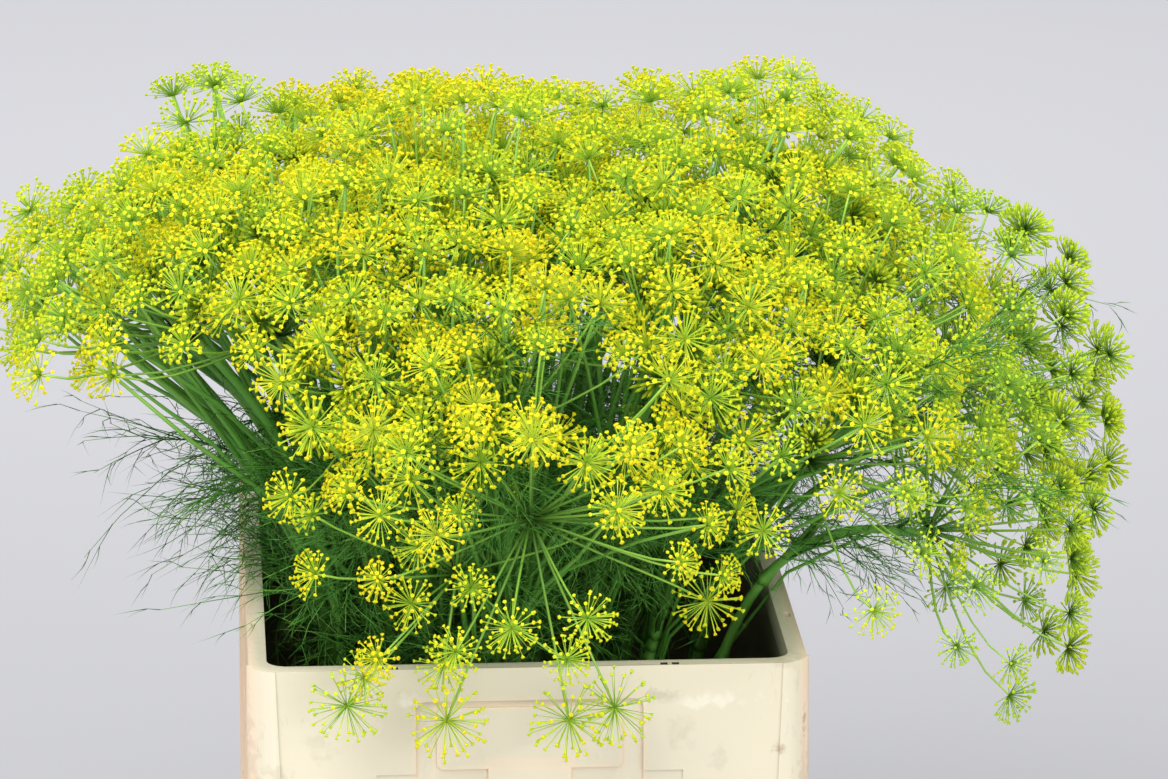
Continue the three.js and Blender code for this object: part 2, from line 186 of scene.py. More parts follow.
class HeadSettings(bpy.types.PropertyGroup):
    rays: count("Rays", 30, "Rays of one umbel")
    florets: count("Florets", 48, "Florets of one umbellet")
    inner: count("Inner rays", 16, "Short rays inside an umbel, with umbellets in bud")
    widest: angle("Widest ray", 84, "How far the outermost rays turn from the umbel's own axis")
    open: angle("Umbellet opening", 104, "How far the outermost florets turn from the umbellet's own axis")
    apart: size("Umbellet spacing", 30, "Distance that crowded umbellets try to keep from each other")
    give: size("Umbellet give", 15, "How far a crowded umbellet moves at most")
    ray_radius: size("Ray radius", 0.8, "Radius of a ray")
    stalk: size("Floret stalk", 16.5, "Length of the longest floret stalks")
    stalk_radius: size("Floret stalk radius", 0.42, "Radius of a floret stalk")
    petal: size("Floret radius", 1.42, "Distance from a floret's middle to the tips of its petals")
    petal_height: size("Floret height", 0.6, "Height of a floret's domed top")
    yellow: colour("Yellow", "#f2f024", "Open petals")
    ripe: colour("Ripe yellow", "#e2c218", "Nectar disc in the middle of a floret")
    lime: colour("Lime", "#d8ee40", "Floret stalks and buds")
    green: colour("Ray green", "#6c9a34", "Rays")
    dark: colour("Hub green", "#3e6a20", "Middle of the umbel, where the rays meet")


class StemSettings(bpy.types.PropertyGroup):
    foot: size("Foot radius", 3.6, "Radius of a stem at its cut end")
    tip: size("Tip radius", 2.4, "Radius of a stem under its head")
    ribs: count("Ribs", 7, "Fine ribs round a stem")
    branches: count("Branches", 12, "Side branches of each stem")
    branch: size("Branch radius", 1.8, "Radius of a side branch where it leaves the stem")
    fronds: count("Fronds", 4, "Fronds on each stem")
    high_fronds: count("High fronds", 3, "Fronds on each middle stem under the flower heads")
    frond: size("Frond length", 120, "Length of a frond")
    pinna: size("Pinna length", 52, "Length of a frond's longest side branch")
    thread: size("Thread length", 27, "Length of a leaf thread")
    thread_radius: size("Thread radius", 0.29, "Radius of a leaf thread")
    light: colour("Stem green", "#88b848", "Raised ribs of a stem")
    shade: colour("Furrow green", "#569236", "Furrows between the ribs")
    leaf: colour("Leaf green", "#45802c", "Leaf threads")
    leaf_tip: colour("Leaf tip green", "#70a03e", "Tips of the leaf threads")


class StageSettings(bpy.types.PropertyGroup):
    floor: colour("Floor", "#a9a9ac", "Pale floor and background")
    key: power("Key light", 90, "Power of the soft light above the front")
    fill: power("Fill light", 38, "Power of the wide light from the front")
    backdrop: power("Backdrop light", 64, "Power of the light on the paper behind")
    ambient: FloatProperty(name="Ambient", description="Strength of the even light from all round",
                           default=1.05)
    distance: size("Camera distance", 3500, "From the lens to the front of the rim")
    elevation: angle("Camera elevation", 15, "How far the camera looks down")
    azimuth: angle("Camera turn", -3.5, "How far the camera stands to the left of the front")


# ---------------------------------------------------------------- Modelling helpers
def deselect():
    if bpy.context.object and bpy.context.object.mode != "OBJECT":
        bpy.ops.object.mode_set(mode="OBJECT")
    bpy.ops.object.select_all(action="DESELECT")


def pick(piece):
    """Makes a piece the only selected one and the active one."""
    deselect()
    piece.select_set(True)
    bpy.context.view_layer.objects.active = piece


def start_edit(shape, kind):
    """Goes into edit mode for vertices or for edges, with nothing selected."""
    bpy.ops.object.mode_set(mode="EDIT")
    bpy.ops.mesh.select_mode(type=kind)
    bpy.ops.mesh.select_all(action="DESELECT")
    return bmesh.from_edit_mesh(shape.data)


def select_where(shape, test):
    """Goes into edit mode with only the vertices that pass the test, and all that lies between them."""
    edit = start_edit(shape, "VERT")
    for vertex in edit.verts:
        vertex.select = test(vertex.co)
    edit.select_flush(True)
    bmesh.update_edit_mesh(shape.data)


def select_edges(shape, test):
    """Goes into edit mode with only the edges whose two ends pass the test."""
    for edge in start_edit(shape, "EDGE").edges:
        edge.select = test(edge.verts[0].co, edge.verts[1].co)
    bmesh.update_edit_mesh(shape.data)


def upright(a, b):
    return abs(a.z - b.z) > 1e-6 and (a.xy - b.xy).length < 0.1 * abs(a.z - b.z)


def block(low, high):
    """A block between two corners."""
    deselect()
    middle = [(a + b) / 2 for a, b in zip(low, high)]
    bpy.ops.mesh.primitive_cube_add(size=1, location=middle, scale=[b - a for a, b in zip(low, high)])
    bpy.ops.object.transform_apply(location=True, scale=True)
    return bpy.context.object


def cone(sides, root, tip, low, high):
    """A cone or a stalk that stands on the upright axis, from radius root at the low end to radius tip."""
    deselect()
    bpy.ops.mesh.primitive_cone_add(vertices=sides, radius1=root, radius2=tip, depth=high - low,
                                    location=(0, 0, (low + high) / 2), end_fill_type="NGON")
    bpy.ops.object.transform_apply(location=True)
    return bpy.context.object


class Template:
    """A shape modelled once along +Z, with its stalk from 0 to 1, that is copied along many curves. Its grade
    says how far along the copy a point is, or what it is on, for the material."""

    def __init__(self, shape):
        bpy.ops.object.mode_set(mode="OBJECT")
        self.points = np.array([v.co[:] for v in shape.data.vertices])
        self.faces = [list(p.vertices) for p in shape.data.polygons]
        self.along = np.minimum(self.points[:, 2], 1)
        self.beyond = np.maximum(self.points[:, 2] - 1, 0)
        self.grade = self.along.copy()
        self.smooth = True
        bpy.data.objects.remove(shape)


def model_stalk(sides, cuts, tip):
    """A stalk of radius 1 at its root and radius tip at its end. A tip of 0 is a point."""
    shape = cone(sides, 1, tip, 0, 1)
    if cuts:
        select_edges(shape, lambda a, b: abs(a.z - b.z) > 0.5)
        bpy.ops.mesh.subdivide(number_cuts=cuts)
    return Template(shape)


def model_needle(widest):
    """A thread of radius 1 that is pointed at both ends and widest at a share of its length."""
    shape = cone(3, 1, 0, widest, 1)
    select_where(shape, lambda co: co.z < (1 + widest) / 2)
    bpy.ops.mesh.poke(offset=widest)
    return Template(shape)


FLORET_SIDES = 5
CUP_DEPTH = 0.14  # from a floret's rim down to where its stalk comes in, as a share of the stalk
STALK_END = 0.92  # where the stalk ends inside the cup
RIM_GRADE = 0.78  # grade round the rim of a floret: 0 is the root of its stalk, and 1 its disc


def model_floret(sizes):
    """A floret: a thin stalk of four faces that ends in a cup, with a five-sided, slightly domed top."""
    shape = cone(FLORET_SIDES, sizes.petal, 0, 1, 1 + sizes.petal_height)
    select_where(shape, lambda co: co.z < 1 + sizes.petal_height / 2)
    bpy.ops.mesh.poke(offset=CUP_DEPTH)
    bpy.ops.mesh.select_all(action="DESELECT")
    wide = 2 * sizes.stalk_radius
    bpy.ops.mesh.primitive_cube_add(size=1, location=(0, 0, STALK_END / 2), scale=(wide, wide, STALK_END))
    # the stalk's root narrows to an edge one way and its end to an edge the other way
    select_edges(shape, lambda a, b: max(a.z, b.z) < 0.1 and abs(a.y - b.y) > wide / 2
                 or 0.9 * STALK_END < min(a.z, b.z) and max(a.z, b.z) < 0.95 and abs(a.x - b.x) > wide / 2)
    bpy.ops.mesh.merge(type="COLLAPSE")
    floret = Template(shape)
    floret.grade = RIM_GRADE * floret.along**3 + (1 - RIM_GRADE) * (floret.beyond > 0)
    floret.smooth = False
    return floret


CLUB_RADII = np.array([0.28, 0.36, 1, 0.5])
CLUB_HEIGHTS = np.array([0, 0.68, 0.86, 1])


def model_club():
    """A closed bud on its stalk: thin, then swollen to a radius of 1 near its end."""
    club = model_stalk(3, len(CLUB_RADII) - 2, 1)
    ring = np.round((len(CLUB_RADII) - 1) * club.along).astype(int)
    club.points[:, :2] *= CLUB_RADII[ring][:, None]
    club.grade = club.along = CLUB_HEIGHTS[ring]
    return club


def across(v):
    """Two directions square to each direction in v and to each other."""
    steep = np.abs(v[..., 2:3]) >= 0.9
    a = unit(np.cross(np.where(steep, np.array([1.0, 0, 0]), UP), v))
    return a, np.cross(v, a)


def lean(axis, polar, turn):
    """Directions that lean by polar from axis, turned by turn about it."""
    a, b = across(axis)
    polar, turn = np.asarray(polar)[..., None], np.asarray(turn)[..., None]
    return axis * np.cos(polar) + a * np.sin(polar) * np.cos(turn) + b * np.sin(polar) * np.sin(turn)


def dome(number, widest, hollow=0):
    """How far each of a number of things spread evenly over a dome leans from its axis, and its turn. The
    share hollow of the dome, in its middle, stays free."""
    i = np.arange(number)
    share = hollow + (1 - hollow) * (i + 0.5) / number
    return np.arccos(1 - share * (1 - math.cos(widest))), i * GOLDEN_ANGLE


def bow(start, way, end, tip, reach=1, first=0.4, last=0.3):
    """The control points of curves that leave their start one way and come into their tip another way."""
    return np.stack([start, start + way * reach * first, tip - end * reach * last, tip], axis=-2)


def bezier(routes, t):
    """Points and directions at shares t along curves with four control points each; t may differ by curve."""
    t = np.atleast_2d(t)[..., None]
    p0, p1, p2, p3 = (routes[:, None, i] for i in range(4))
    spots = (1 - t) ** 3 * p0 + 3 * (1 - t) ** 2 * t * p1 + 3 * (1 - t) * t**2 * p2 + t**3 * p3
    ways = (1 - t) ** 2 * (p1 - p0) + 2 * (1 - t) * t * (p2 - p1) + t**2 * (p3 - p2)
    return spots, unit(ways)


class Gather:
    """Collects copies of templates for one mesh, with the grade of every point and the age of every copy."""

    def __init__(self):
        self.points, self.faces, self.slots, self.smooth, self.grade, self.age = ([] for _ in range(6))
        self.total = 0

    def add(self, template, routes, thickness=1.0, slot=0, age=0.5, spin=0.0):
        """Lays a copy of the template along each route."""
        routes = np.asarray(routes, float)
        n, v = len(routes), len(template.points)
        if not n:
            return
        spots, ways = bezier(routes, template.along)
        _, b = across(unit(routes[:, 3] - routes[:, 0]))
        side = unit(np.cross(b[:, None], ways))
        other = np.cross(ways, side)
        thickness, age, spin = (np.broadcast_to(np.asarray(each, float), (n,))
                                for each in (thickness, age, spin))
        thickness = thickness[:, None, None]
        c, s = np.cos(spin)[:, None, None], np.sin(spin)[:, None, None]
        x, y = template.points[None, :, 0:1], template.points[None, :, 1:2]
        made = spots + thickness * (side * (c * x - s * y) + other * (s * x + c * y))
        made = made + ways * template.beyond[None, :, None] * np.minimum(thickness, 1)
        starts = self.total + v * np.arange(n)
        for face in template.faces:
            self.faces.append(starts[:, None] + np.array(face)[None])
            self.slots.append(np.full(n, slot))
            self.smooth.append(np.full(n, template.smooth))
        self.points.append(made.reshape(-1, 3))
        self.grade.append(np.tile(template.grade, n))
        self.age.append(np.repeat(age, v))
        self.total += v * n

    def finish(self, head, name, materials, solid, slot):
        """Makes the head's mesh, gives it its materials, and lets it stand for its solid."""
        number = f"_{head.k + 1:02d}"
        mesh = bpy.data.meshes.new(name + number)
        faces = [row for same in self.faces for row in same.tolist()]
        mesh.from_pydata(np.concatenate(self.points), [], faces)
        mesh.polygons.foreach_set("material_index", np.concatenate(self.slots).astype(np.int32))
        mesh.polygons.foreach_set("use_smooth", np.concatenate(self.smooth))
        for label, values in (("grade", self.grade), ("age", self.age)):
            attribute = mesh.attributes.new(label, "FLOAT", "POINT")
            attribute.data.foreach_set("value", np.concatenate(values).astype(np.float32))
        mesh.update()
        piece = bpy.data.objects.new(name + number, mesh)
        bpy.context.scene.collection.objects.link(piece)
        place(piece, materials, solid + number)


def place(piece, materials, node):
    """The piece rides on the object's only body and stands for its solid."""
    for material in materials:
        piece.data.materials.append(material)
    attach(piece, "root")
    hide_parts(node)


# ---------------------------------------------------------------- Materials
def set_input(tree, socket, value):
    """Links an input to another node's output, or gives it a value."""
    if isinstance(value, bpy.types.NodeSocket):
        tree.links.new(value, socket)
    else:
        socket.default_value = value


def add_node(tree, kind, inputs=None, stops=(), output=None, **settings):
    """Adds a node with its settings, the values or links of its inputs, and the stops of a colour ramp. Gives
    the output that is named, or else the first one in use."""
    made = tree.nodes.new("ShaderNode" + kind)
    for name, value in settings.items():
        setattr(made, name, value)
    for name, value in (inputs or {}).items():
        set_input(tree, made.inputs[name], value)
    if stops:
        elements = made.color_ramp.elements
        while len(elements) < len(stops):
            elements.new(0.5)
        for element, (position, value) in zip(elements, stops):
            element.position = position
            element.color = (*value, 1)
    return made.outputs[output] if output else next(each for each in made.outputs if each.enabled)


def start_material(name):
    material = bpy.data.materials.new(name)
    material.use_nodes = True
    return material, material.node_tree


def finish_material(material, finish, **values):
    """Gives the material's shader its colour and its other inputs, in whose names _ stands for a space."""
    inputs = material.node_tree.nodes["Principled BSDF"].inputs
    for label, value in {"Base_Color": finish, **values}.items():
        set_input(material.node_tree, inputs[label.replace("_", " ")], value)
    return material


def along_copy(tree, *stops):
    """A colour that changes with the grade of a template."""
    grade = add_node(tree, "Attribute", output="Fac", attribute_name="grade")
    return add_node(tree, "ValToRGB", {"Fac": grade}, stops)


def lay_over(tree, below, *layers):
    """Lays tints over a colour, one after the other, each where its mask says so."""
    for mask, tint in layers:
        below = add_node(tree, "Mix", {0: mask, 6: below, 7: (*tint, 1)}, data_type="RGBA")
    return below


def cells(millimetres):
    """The scale of a pattern whose cells are so many millimetres wide."""
    return 1 / (millimetres * MM)


def petal_material(heads):
    """Dill floret, fresh: thin lime stalk, waxy yellow petals and a darker nectar disc, hardly glossy."""
    material, tree = start_material("dill_floret_fresh")
    age = add_node(tree, "Attribute", output="Fac", attribute_name="age")
    opened = along_copy(tree, (0.0, linear("#bce254")), (0.45, heads.lime), (0.68, heads.yellow),
                        (0.86, heads.yellow), (1.0, heads.ripe))
    in_bud = along_copy(tree, (0.0, linear("#7cac48")), (0.45, linear("#a0cc44")), (0.75, linear("#c4e23e")),
                        (1.0, linear("#d4e83a")))
    finish = add_node(tree, "Mix", {0: age, 6: in_bud, 7: opened}, data_type="RGBA")
    golden = add_node(tree, "MapRange", {"Value": age, "From Min": 0.8, "To Max": 0.28})
    finish = lay_over(tree, finish, (golden, linear("#e6c81c")))
    # thin petals let light through, tinted by them
    through = add_node(tree, "BsdfTranslucent", {"Color": finish})
    skin = tree.nodes["Principled BSDF"].outputs["BSDF"]
    both = add_node(tree, "MixShader", {0: 0.36, 1: skin, 2: through})
    tree.links.new(both, tree.nodes["Material Output"].inputs["Surface"])
    return finish_material(material, finish, Roughness=0.55, Specular_IOR_Level=0.2)


def ray_material(heads):
    """Dill ray, fresh: smooth green stalk, dark where the rays meet and lighter towards the umbellet."""
    material, tree = start_material("dill_ray_fresh")
    finish = along_copy(tree, (0.0, heads.dark), (0.3, heads.green), (0.88, linear("#92c042")),
                        (1.0, linear("#c4e854")))
    return finish_material(material, finish, Roughness=0.42, Specular_IOR_Level=0.4)


def stem_material(stems):
    """Dill stem, fresh: finely ribbed, satin skin with a pale wax on the ribs and darker furrows."""
    material, tree = start_material("dill_stem_ribbed")
    ribs = along_copy(tree, (0.0, stems.shade), (0.6, linear("#62a03e")), (1.0, stems.light))
    # the wax is rubbed off in patches of about 2 cm
    patches = add_node(tree, "TexNoise", {"Vector": add_node(tree, "TexCoord", output="Object"),
                                          "Scale": cells(22.2), "Detail": 3.0})
    wax = add_node(tree, "MapRange", {"Value": patches, "From Min": 0.45, "From Max": 0.75, "To Max": 0.35})
    finish = lay_over(tree, ribs, (wax, linear("#90b45e")))
    return finish_material(material, finish, Roughness=0.42, Specular_IOR_Level=0.3)


def leaf_material(stems):
    """Dill leaf, fresh: hair-thin deep green threads, lighter at their tips, dull."""
    material, tree = start_material("dill_leaf_thread")
    finish = along_copy(tree, (0.0, linear("#33661f")), (0.5, stems.leaf), (1.0, stems.leaf_tip))
    return finish_material(material, finish, Roughness=0.6, Specular_IOR_Level=0.25)


RAGGED = 4.0  # how strongly a spot's edge is torn
SPOT_EDGE = (3.1, 2.3)  # where a torn spot begins and where it is at its strongest


def add_spot(tree, coordinates, torn, middle, radii, amount):
    """A ragged spot round a point, in millimetres: amount in the middle, 0 outside."""
    middle, radii = ([v * MM for v in each] for each in (middle, radii))
    centred = add_node(tree, "VectorMath", {0: coordinates, 1: middle}, operation="SUBTRACT")
    scaled = add_node(tree, "VectorMath", {0: centred, 1: radii}, operation="DIVIDE")
    away = add_node(tree, "VectorMath", {0: scaled}, operation="LENGTH")
    ragged = add_node(tree, "Math", {0: torn, 1: RAGGED, 2: away}, operation="MULTIPLY_ADD")
    return add_node(tree, "MapRange", {"Value": ragged, "From Min": SPOT_EDGE[0], "From Max": SPOT_EDGE[1],
                                       "To Max": amount})


# breadth and strength of the painted highlight along the moulded edges of the panels and the pad
HIGHLIGHT_BREADTH = 3.2 * MM
HIGHLIGHT_STRENGTH = 0.24


def add_edge_highlight(tree, sideways, upwards, half_width, low, high):
    """A soft line of painted highlight round an oblong that stands in the middle of a face."""
    centred = add_node(tree, "Math", {0: upwards, 1: (low + high) / 2}, operation="SUBTRACT")
    height = add_node(tree, "Math", {0: centred}, operation="ABSOLUTE")
    past_side = add_node(tree, "Math", {0: sideways, 1: half_width}, operation="SUBTRACT")
    past_end = add_node(tree, "Math", {0: height, 1: (high - low) / 2}, operation="SUBTRACT")
    past = add_node(tree, "Math", {0: past_side, 1: past_end}, operation="MAXIMUM")
    away = add_node(tree, "Math", {0: past}, operation="ABSOLUTE")
    return add_node(tree, "MapRange", {"Value": away, "From Min": HIGHLIGHT_BREADTH, "From Max": 0.0,
                                       "To Max": HIGHLIGHT_STRENGTH})


MOTTLE = linear("#d8cfae")
GRIME, CHALK, RUST = "#8f8468", "#f4f1ec", "#8a6a3c"
# Single smears and rubbed spots on the front and the posts: tint, middle, radii and strength.
SPOTS = ((GRIME, (72, -198, 353), (9, 30, 4), 0.3), (GRIME, (81, -198, 332), (6, 30, 9), 0.16),
         (GRIME, (100, -198, 318), (5, 30, 6), 0.16), (GRIME, (-112, -198, 330), (9, 30, 8), 0.14),
         (CHALK, (98, -198, 350), (23, 30, 4), 0.22), (CHALK, (-62, -198, 352), (6, 30, 4), 0.3),
         (RUST, (132, -200, 322), (3, 30, 4), 0.5), (GRIME, (146, -194, 336), (1, 30, 8), 0.6),
         (GRIME, (147, -194, 300), (4, 30, 24), 0.25), (GRIME, (-147, -196, 318), (5, 30, 26), 0.2),
         (GRIME, (-134, -200, 314), (9, 30, 4), 0.2), (RUST, (134, -196, 369), (12, 30, 3), 0.15))


def tub_material(tub):
    """Polypropylene, injection moulded: cream and satin, mottled, with scuffed posts, painted highlights
    round the panels and an inside darkened by painted shade and stains.
    """
    material, tree = start_material("polypropylene_moulded_scuffed")
    spot = add_node(tree, "TexCoord", output="Object")
    x, y, z = add_node(tree, "SeparateXYZ", {"Vector": spot}).node.outputs
    sideways, depthwise = (add_node(tree, "Math", {0: each}, operation="ABSOLUTE") for each in (x, y))
    half = TUB_HIGH.x
    clouds = add_node(tree, "TexNoise", {"Vector": spot, "Scale": cells(45.5), "Detail": 5.0,
                                         "Roughness": 0.6})
    stretched = add_node(tree, "Mapping", {"Vector": spot, "Scale": (1.0, 1.0, 0.35)})
    scuffs = add_node(tree, "TexNoise", {"Vector": stretched, "Scale": cells(4.76), "Detail": 6.0,
                                         "Roughness": 0.72})
    crowd = add_node(tree, "MapRange", {"Value": sideways, "From Min": half - 40 * MM,
                                        "From Max": half - 12 * MM, "To Max": 0.07})
    scuffs = add_node(tree, "Math", {0: scuffs, 1: crowd}, operation="ADD")
    torn = add_node(tree, "TexNoise", {"Vector": spot, "Scale": cells(5.26), "Detail": 5.0})
    # the long sides and the outer corners are thicker and look warmer; over them comes mottling of a few
    # centimetres, and scuffs of a few millimetres, stretched upwards, that crowd on the corner posts
    ranges = ((sideways, half - 8.5 * MM, half - 3 * MM, 0.85), (clouds, 0.35, 0.7, 0.28),
              (scuffs, 0.64, 0.74, 0.28))
    names = ("Value", "From Min", "From Max", "To Max")
    masks = [(add_node(tree, "MapRange", dict(zip(names, row))), tint)
             for row, tint in zip(ranges, (tub.warm, MOTTLE, tub.dirt))]
    # a soft peach line of painted highlight runs along the edges of the panels and of the pad
    masks += [(add_edge_highlight(tree, sideways, z, half_width, low, high), linear("#f0c8a4"))
              for half_width, low, high in ((tub.panel_width / 2, tub.panel_foot, tub.panel_top),
                                            *((w / 2 * MM, a * MM, b * MM) for w, a, b in PAD))]
    masks += [(add_spot(tree, spot, torn, middle, radii, amount), linear(tint))
              for tint, middle, radii, amount in SPOTS]
    # the inside is darkened more and more lower down: painted shade, with some staining from leaves and water
    within = [add_node(tree, "Math", {0: value, 1: limit - tub.wall + MM}, operation="LESS_THAN")
              for value, limit in ((sideways, half), (depthwise, TUB_HIGH.y))]
    inside = add_node(tree, "Math", {0: within[0], 1: within[1]}, operation="MULTIPLY")
    lower = add_node(tree, "MapRange", {"Value": z, "From Min": TUB_HIGH.z - 4 * MM,
                                        "From Max": TUB_HIGH.z - 50 * MM, "To Max": 0.85})
    masks.append((add_node(tree, "Math", {0: inside, 1: lower}, operation="MULTIPLY"), linear("#4a3a2a")))
    gloss = add_node(tree, "MapRange", {"Value": clouds, "To Min": 0.42, "To Max": 0.62})
    # the fine grain of the mould, 1 mm across
    grain = add_node(tree, "TexNoise", {"Vector": spot, "Scale": cells(1.11), "Detail": 2.0})
    bump = add_node(tree, "Bump", {"Height": grain, "Strength": 0.12, "Distance": 0.4 * MM})
    return finish_material(material, lay_over(tree, (*tub.cream, 1), *masks), IOR=1.49, Roughness=gloss,
                           Normal=bump)


def slot_shade_material():
    """Painted shade in the stacking slots: dark brown and dull."""
    return finish_material(start_material("dried_soil")[0], (*linear("#3a3022"), 1), Roughness=0.9)


def water_material():
    """Water, still: clear with a green cast from the stems, and sharp gloss."""
    material, tree = start_material("still_water")
    cloud = add_node(tree, "TexNoise", {"Vector": add_node(tree, "TexCoord", output="Object"),
                                        "Scale": cells(55.6)})
    tint = add_node(tree, "ValToRGB", {"Fac": cloud}, ((0.3, linear("#9fb59c")), (0.7, linear("#b9cdbb"))))
    return finish_material(material, tint, Roughness=0.03, IOR=1.333, Transmission_Weight=0.85)


def floor_material(stage):
    """Studio paper: pale, dull and even, with a faint cloudiness."""
    material, tree = start_material("studio_paper")
    cloud = add_node(tree, "TexNoise", {"Vector": add_node(tree, "TexCoord", output="Object"),
                                        "Scale": cells(1667)})
    tone = add_node(tree, "MapRange", {"Value": cloud, "To Max": 0.12})
    finish = lay_over(tree, (*stage.floor, 1), (tone, linear("#a2a2a7")))
    return finish_material(material, finish, Roughness=0.9)


# ---------------------------------------------------------------- The tub
CORNER_STEPS = 10
MOUTH_STEPS = 8
EDGE_STEPS = 3
PANEL_STEPS = 4
MOUTH_CORNER = 11 * MM
PANEL_CORNER = 5 * MM
PAD = ((98, 314, 348), (44, 262, 318))  # the T-shaped pad's two bars: width, lower and upper edge in mm
PAD_CORNER = 3.5 * MM
PAD_PROUD = 1.5 * MM
SHELF_HALF = 81 * MM  # a shallower step on both sides of the lower part of the short sides' panel
SHELF_TOP = 312 * MM
SHELF_DEPTH = 1.2 * MM
OVER = 5 * MM  # how far a cutter reaches past the face that it cuts
SUNK = 1 * MM  # how far a block runs into the one that it meets
SLOT_PAIR = 74 * MM  # from the middle of the short rims to the middle of a pair of slots
SLOT_APART = 3 * MM
SLOT_IN = 5.5 * MM
SHORT_SLOT = (1.9 * MM, 2.1 * MM)  # half width and half length
LONG_SLOT = (1.3 * MM, 4 * MM)
LONG_SLOT_Y = 110 * MM
SLOT_DEPTH = 4 * MM
SHADE_BELOW = 0.4 * MM  # how far below the rim's top the painted shade in a slot begins


def through(a, b):
    """True for an edge that runs into a short side."""
    return abs(a.y - b.y) > MM


def rounded(shape, radius, steps, test=upright):
    """Rounds the edges of a block that pass the test."""
    select_edges(shape, test)
    bpy.ops.mesh.bevel(offset=radius, segments=steps, affect="EDGES")
    return shape


def cut(piece, cutter, operation="DIFFERENCE"):
    """Cuts the cutter out of the piece, or joins it on, and removes the cutter."""
    pick(piece)
    modifier = piece.modifiers.new("Cut", "BOOLEAN")
    modifier.object, modifier.operation, modifier.solver = cutter, operation, "EXACT"
    bpy.ops.object.modifier_apply(modifier=modifier.name)
    bpy.data.objects.remove(cutter)


def turn_selected(turn):
    bpy.ops.transform.rotate(value=turn, orient_axis="Z", center_override=(0, 0, 0))
    bpy.ops.object.transform_apply(location=True, rotation=True)


def cut_both(piece, cutter, turned=False, operation="DIFFERENCE"):
    """Cuts or joins a block at the front and its turned copy at the back, or at both long sides."""
    pick(cutter)
    if turned:
        turn_selected(math.pi / 2)
    bpy.ops.object.duplicate()
    turn_selected(math.pi)
    copy = bpy.context.object
    cut(piece, cutter, operation)
    cut(piece, copy, operation)


class DILL_OT_tub(bpy.types.Operator):
    """Model the tub: a rounded oblong tub with corner posts, sunk panels and a thick rim"""
    bl_idname = "dill.tub"
    bl_label = "Flower Tub"

    def execute(self, context):
        tub = context.scene.dill.tub
        half_x, half_y, top = TUB_HIGH
        piece = rounded(block((-half_x, -half_y, 0), TUB_HIGH), tub.corner, CORNER_STEPS)
        piece.name = "flower_tub"
        sides = ((False, half_x, half_y, tub.panel_width), (True, half_y, half_x, tub.side_panel_width))
        for turned, along, face, _ in sides:
            between = block((tub.post_foot - along, -face - OVER, -SUNK),
                            (along - tub.post_foot, tub.post_proud - face, top + OVER))
            select_where(between, lambda co: co.z > top / 2)
            wider = (along - tub.post_top) / (along - tub.post_foot)
            bpy.ops.transform.resize(value=(wider, 1, 1), center_override=(0, 0, top + OVER))
            cut_both(piece, between, turned)
        for turned, _, face, width in sides:
            panel = block((-width / 2, tub.post_proud - face - OVER, tub.panel_foot),
                          (width / 2, tub.post_proud - face + tub.panel_depth, tub.panel_top))
            cut_both(piece, rounded(panel, PANEL_CORNER, PANEL_STEPS, through), turned)
        cut_both(piece, block((-SHELF_HALF, -half_y - OVER, tub.panel_foot),
                              (SHELF_HALF, tub.post_proud - half_y + SHELF_DEPTH, SHELF_TOP)))
        bottom = tub.post_proud - half_y + tub.panel_depth
        for width, low, high in PAD:
            bar = block((-width / 2 * MM, bottom - PAD_PROUD, low * MM),
                        (width / 2 * MM, bottom + SUNK, high * MM))
            cut_both(piece, rounded(bar, PAD_CORNER, PANEL_STEPS, through), operation="UNION")
        for inset, low, high in ((tub.wall, tub.floor, top - tub.rim_depth),
                                 (tub.rim_width, top - tub.rim_depth - SUNK, top + OVER)):
            hole = block((inset - half_x, inset - half_y, low), (half_x - inset, half_y - inset, high))
            cut(piece, rounded(hole, MOUTH_CORNER, MOUTH_STEPS))
        self.cut_slots(piece, half_x - tub.rim_width / 2)
        self.round_edges(piece, tub.edge)
        piece.data.materials.clear()
        place(piece, [tub_material(tub), slot_shade_material()], "tub")
        # the faces down inside the slots take the second material, the slots' painted shade
        for face in piece.data.polygons:
            x, y, z = face.center
            aside, ahead = abs(x) - SLOT_PAIR, half_y - SLOT_IN - abs(y)
            in_slot = abs(aside) < 2 * SLOT_APART and abs(ahead) < SLOT_IN / 2
            face.material_index = int(in_slot and top - SLOT_DEPTH - SUNK < z < top - SHADE_BELOW)
        return {"FINISHED"}

    def cut_slots(self, piece, long_x):
        """Small stacking slots in pairs along the short rims, and single ones along the long rims."""
        slots = [(side * (SLOT_PAIR + apart), SLOT_IN - TUB_HIGH.y, *SHORT_SLOT)
                 for side, apart in ((-1, SLOT_APART), (-1, -SLOT_APART), (1, -SLOT_APART), (1, SLOT_APART))]
        slots += [(long_x, y, *LONG_SLOT) for y in (-LONG_SLOT_Y, LONG_SLOT_Y)]
        for x, y, half_width, half_length in slots:
            cut_both(piece, block((x - half_width, y - half_length, TUB_HIGH.z - SLOT_DEPTH),
                                  (x + half_width, y + half_length, TUB_HIGH.z + SUNK)))

    def round_edges(self, piece, width):
        pick(piece)
        bevel = piece.modifiers.new("Moulded edges", "BEVEL")
        bevel.width, bevel.segments = width, EDGE_STEPS
        bevel.limit_method, bevel.angle_limit = "ANGLE", math.radians(35)
        bpy.ops.object.modifier_apply(modifier=bevel.name)
        bpy.ops.object.shade_smooth_by_angle(angle=math.radians(30))


class DILL_OT_water(bpy.types.Operator):
    """Give the water in the tub its finish"""
    bl_idname = "dill.water"
    bl_label = "Water"

    def execute(self, context):
        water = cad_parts["water"]
        water.data.materials.clear()
        water.data.materials.append(water_material())
        return {"FINISHED"}


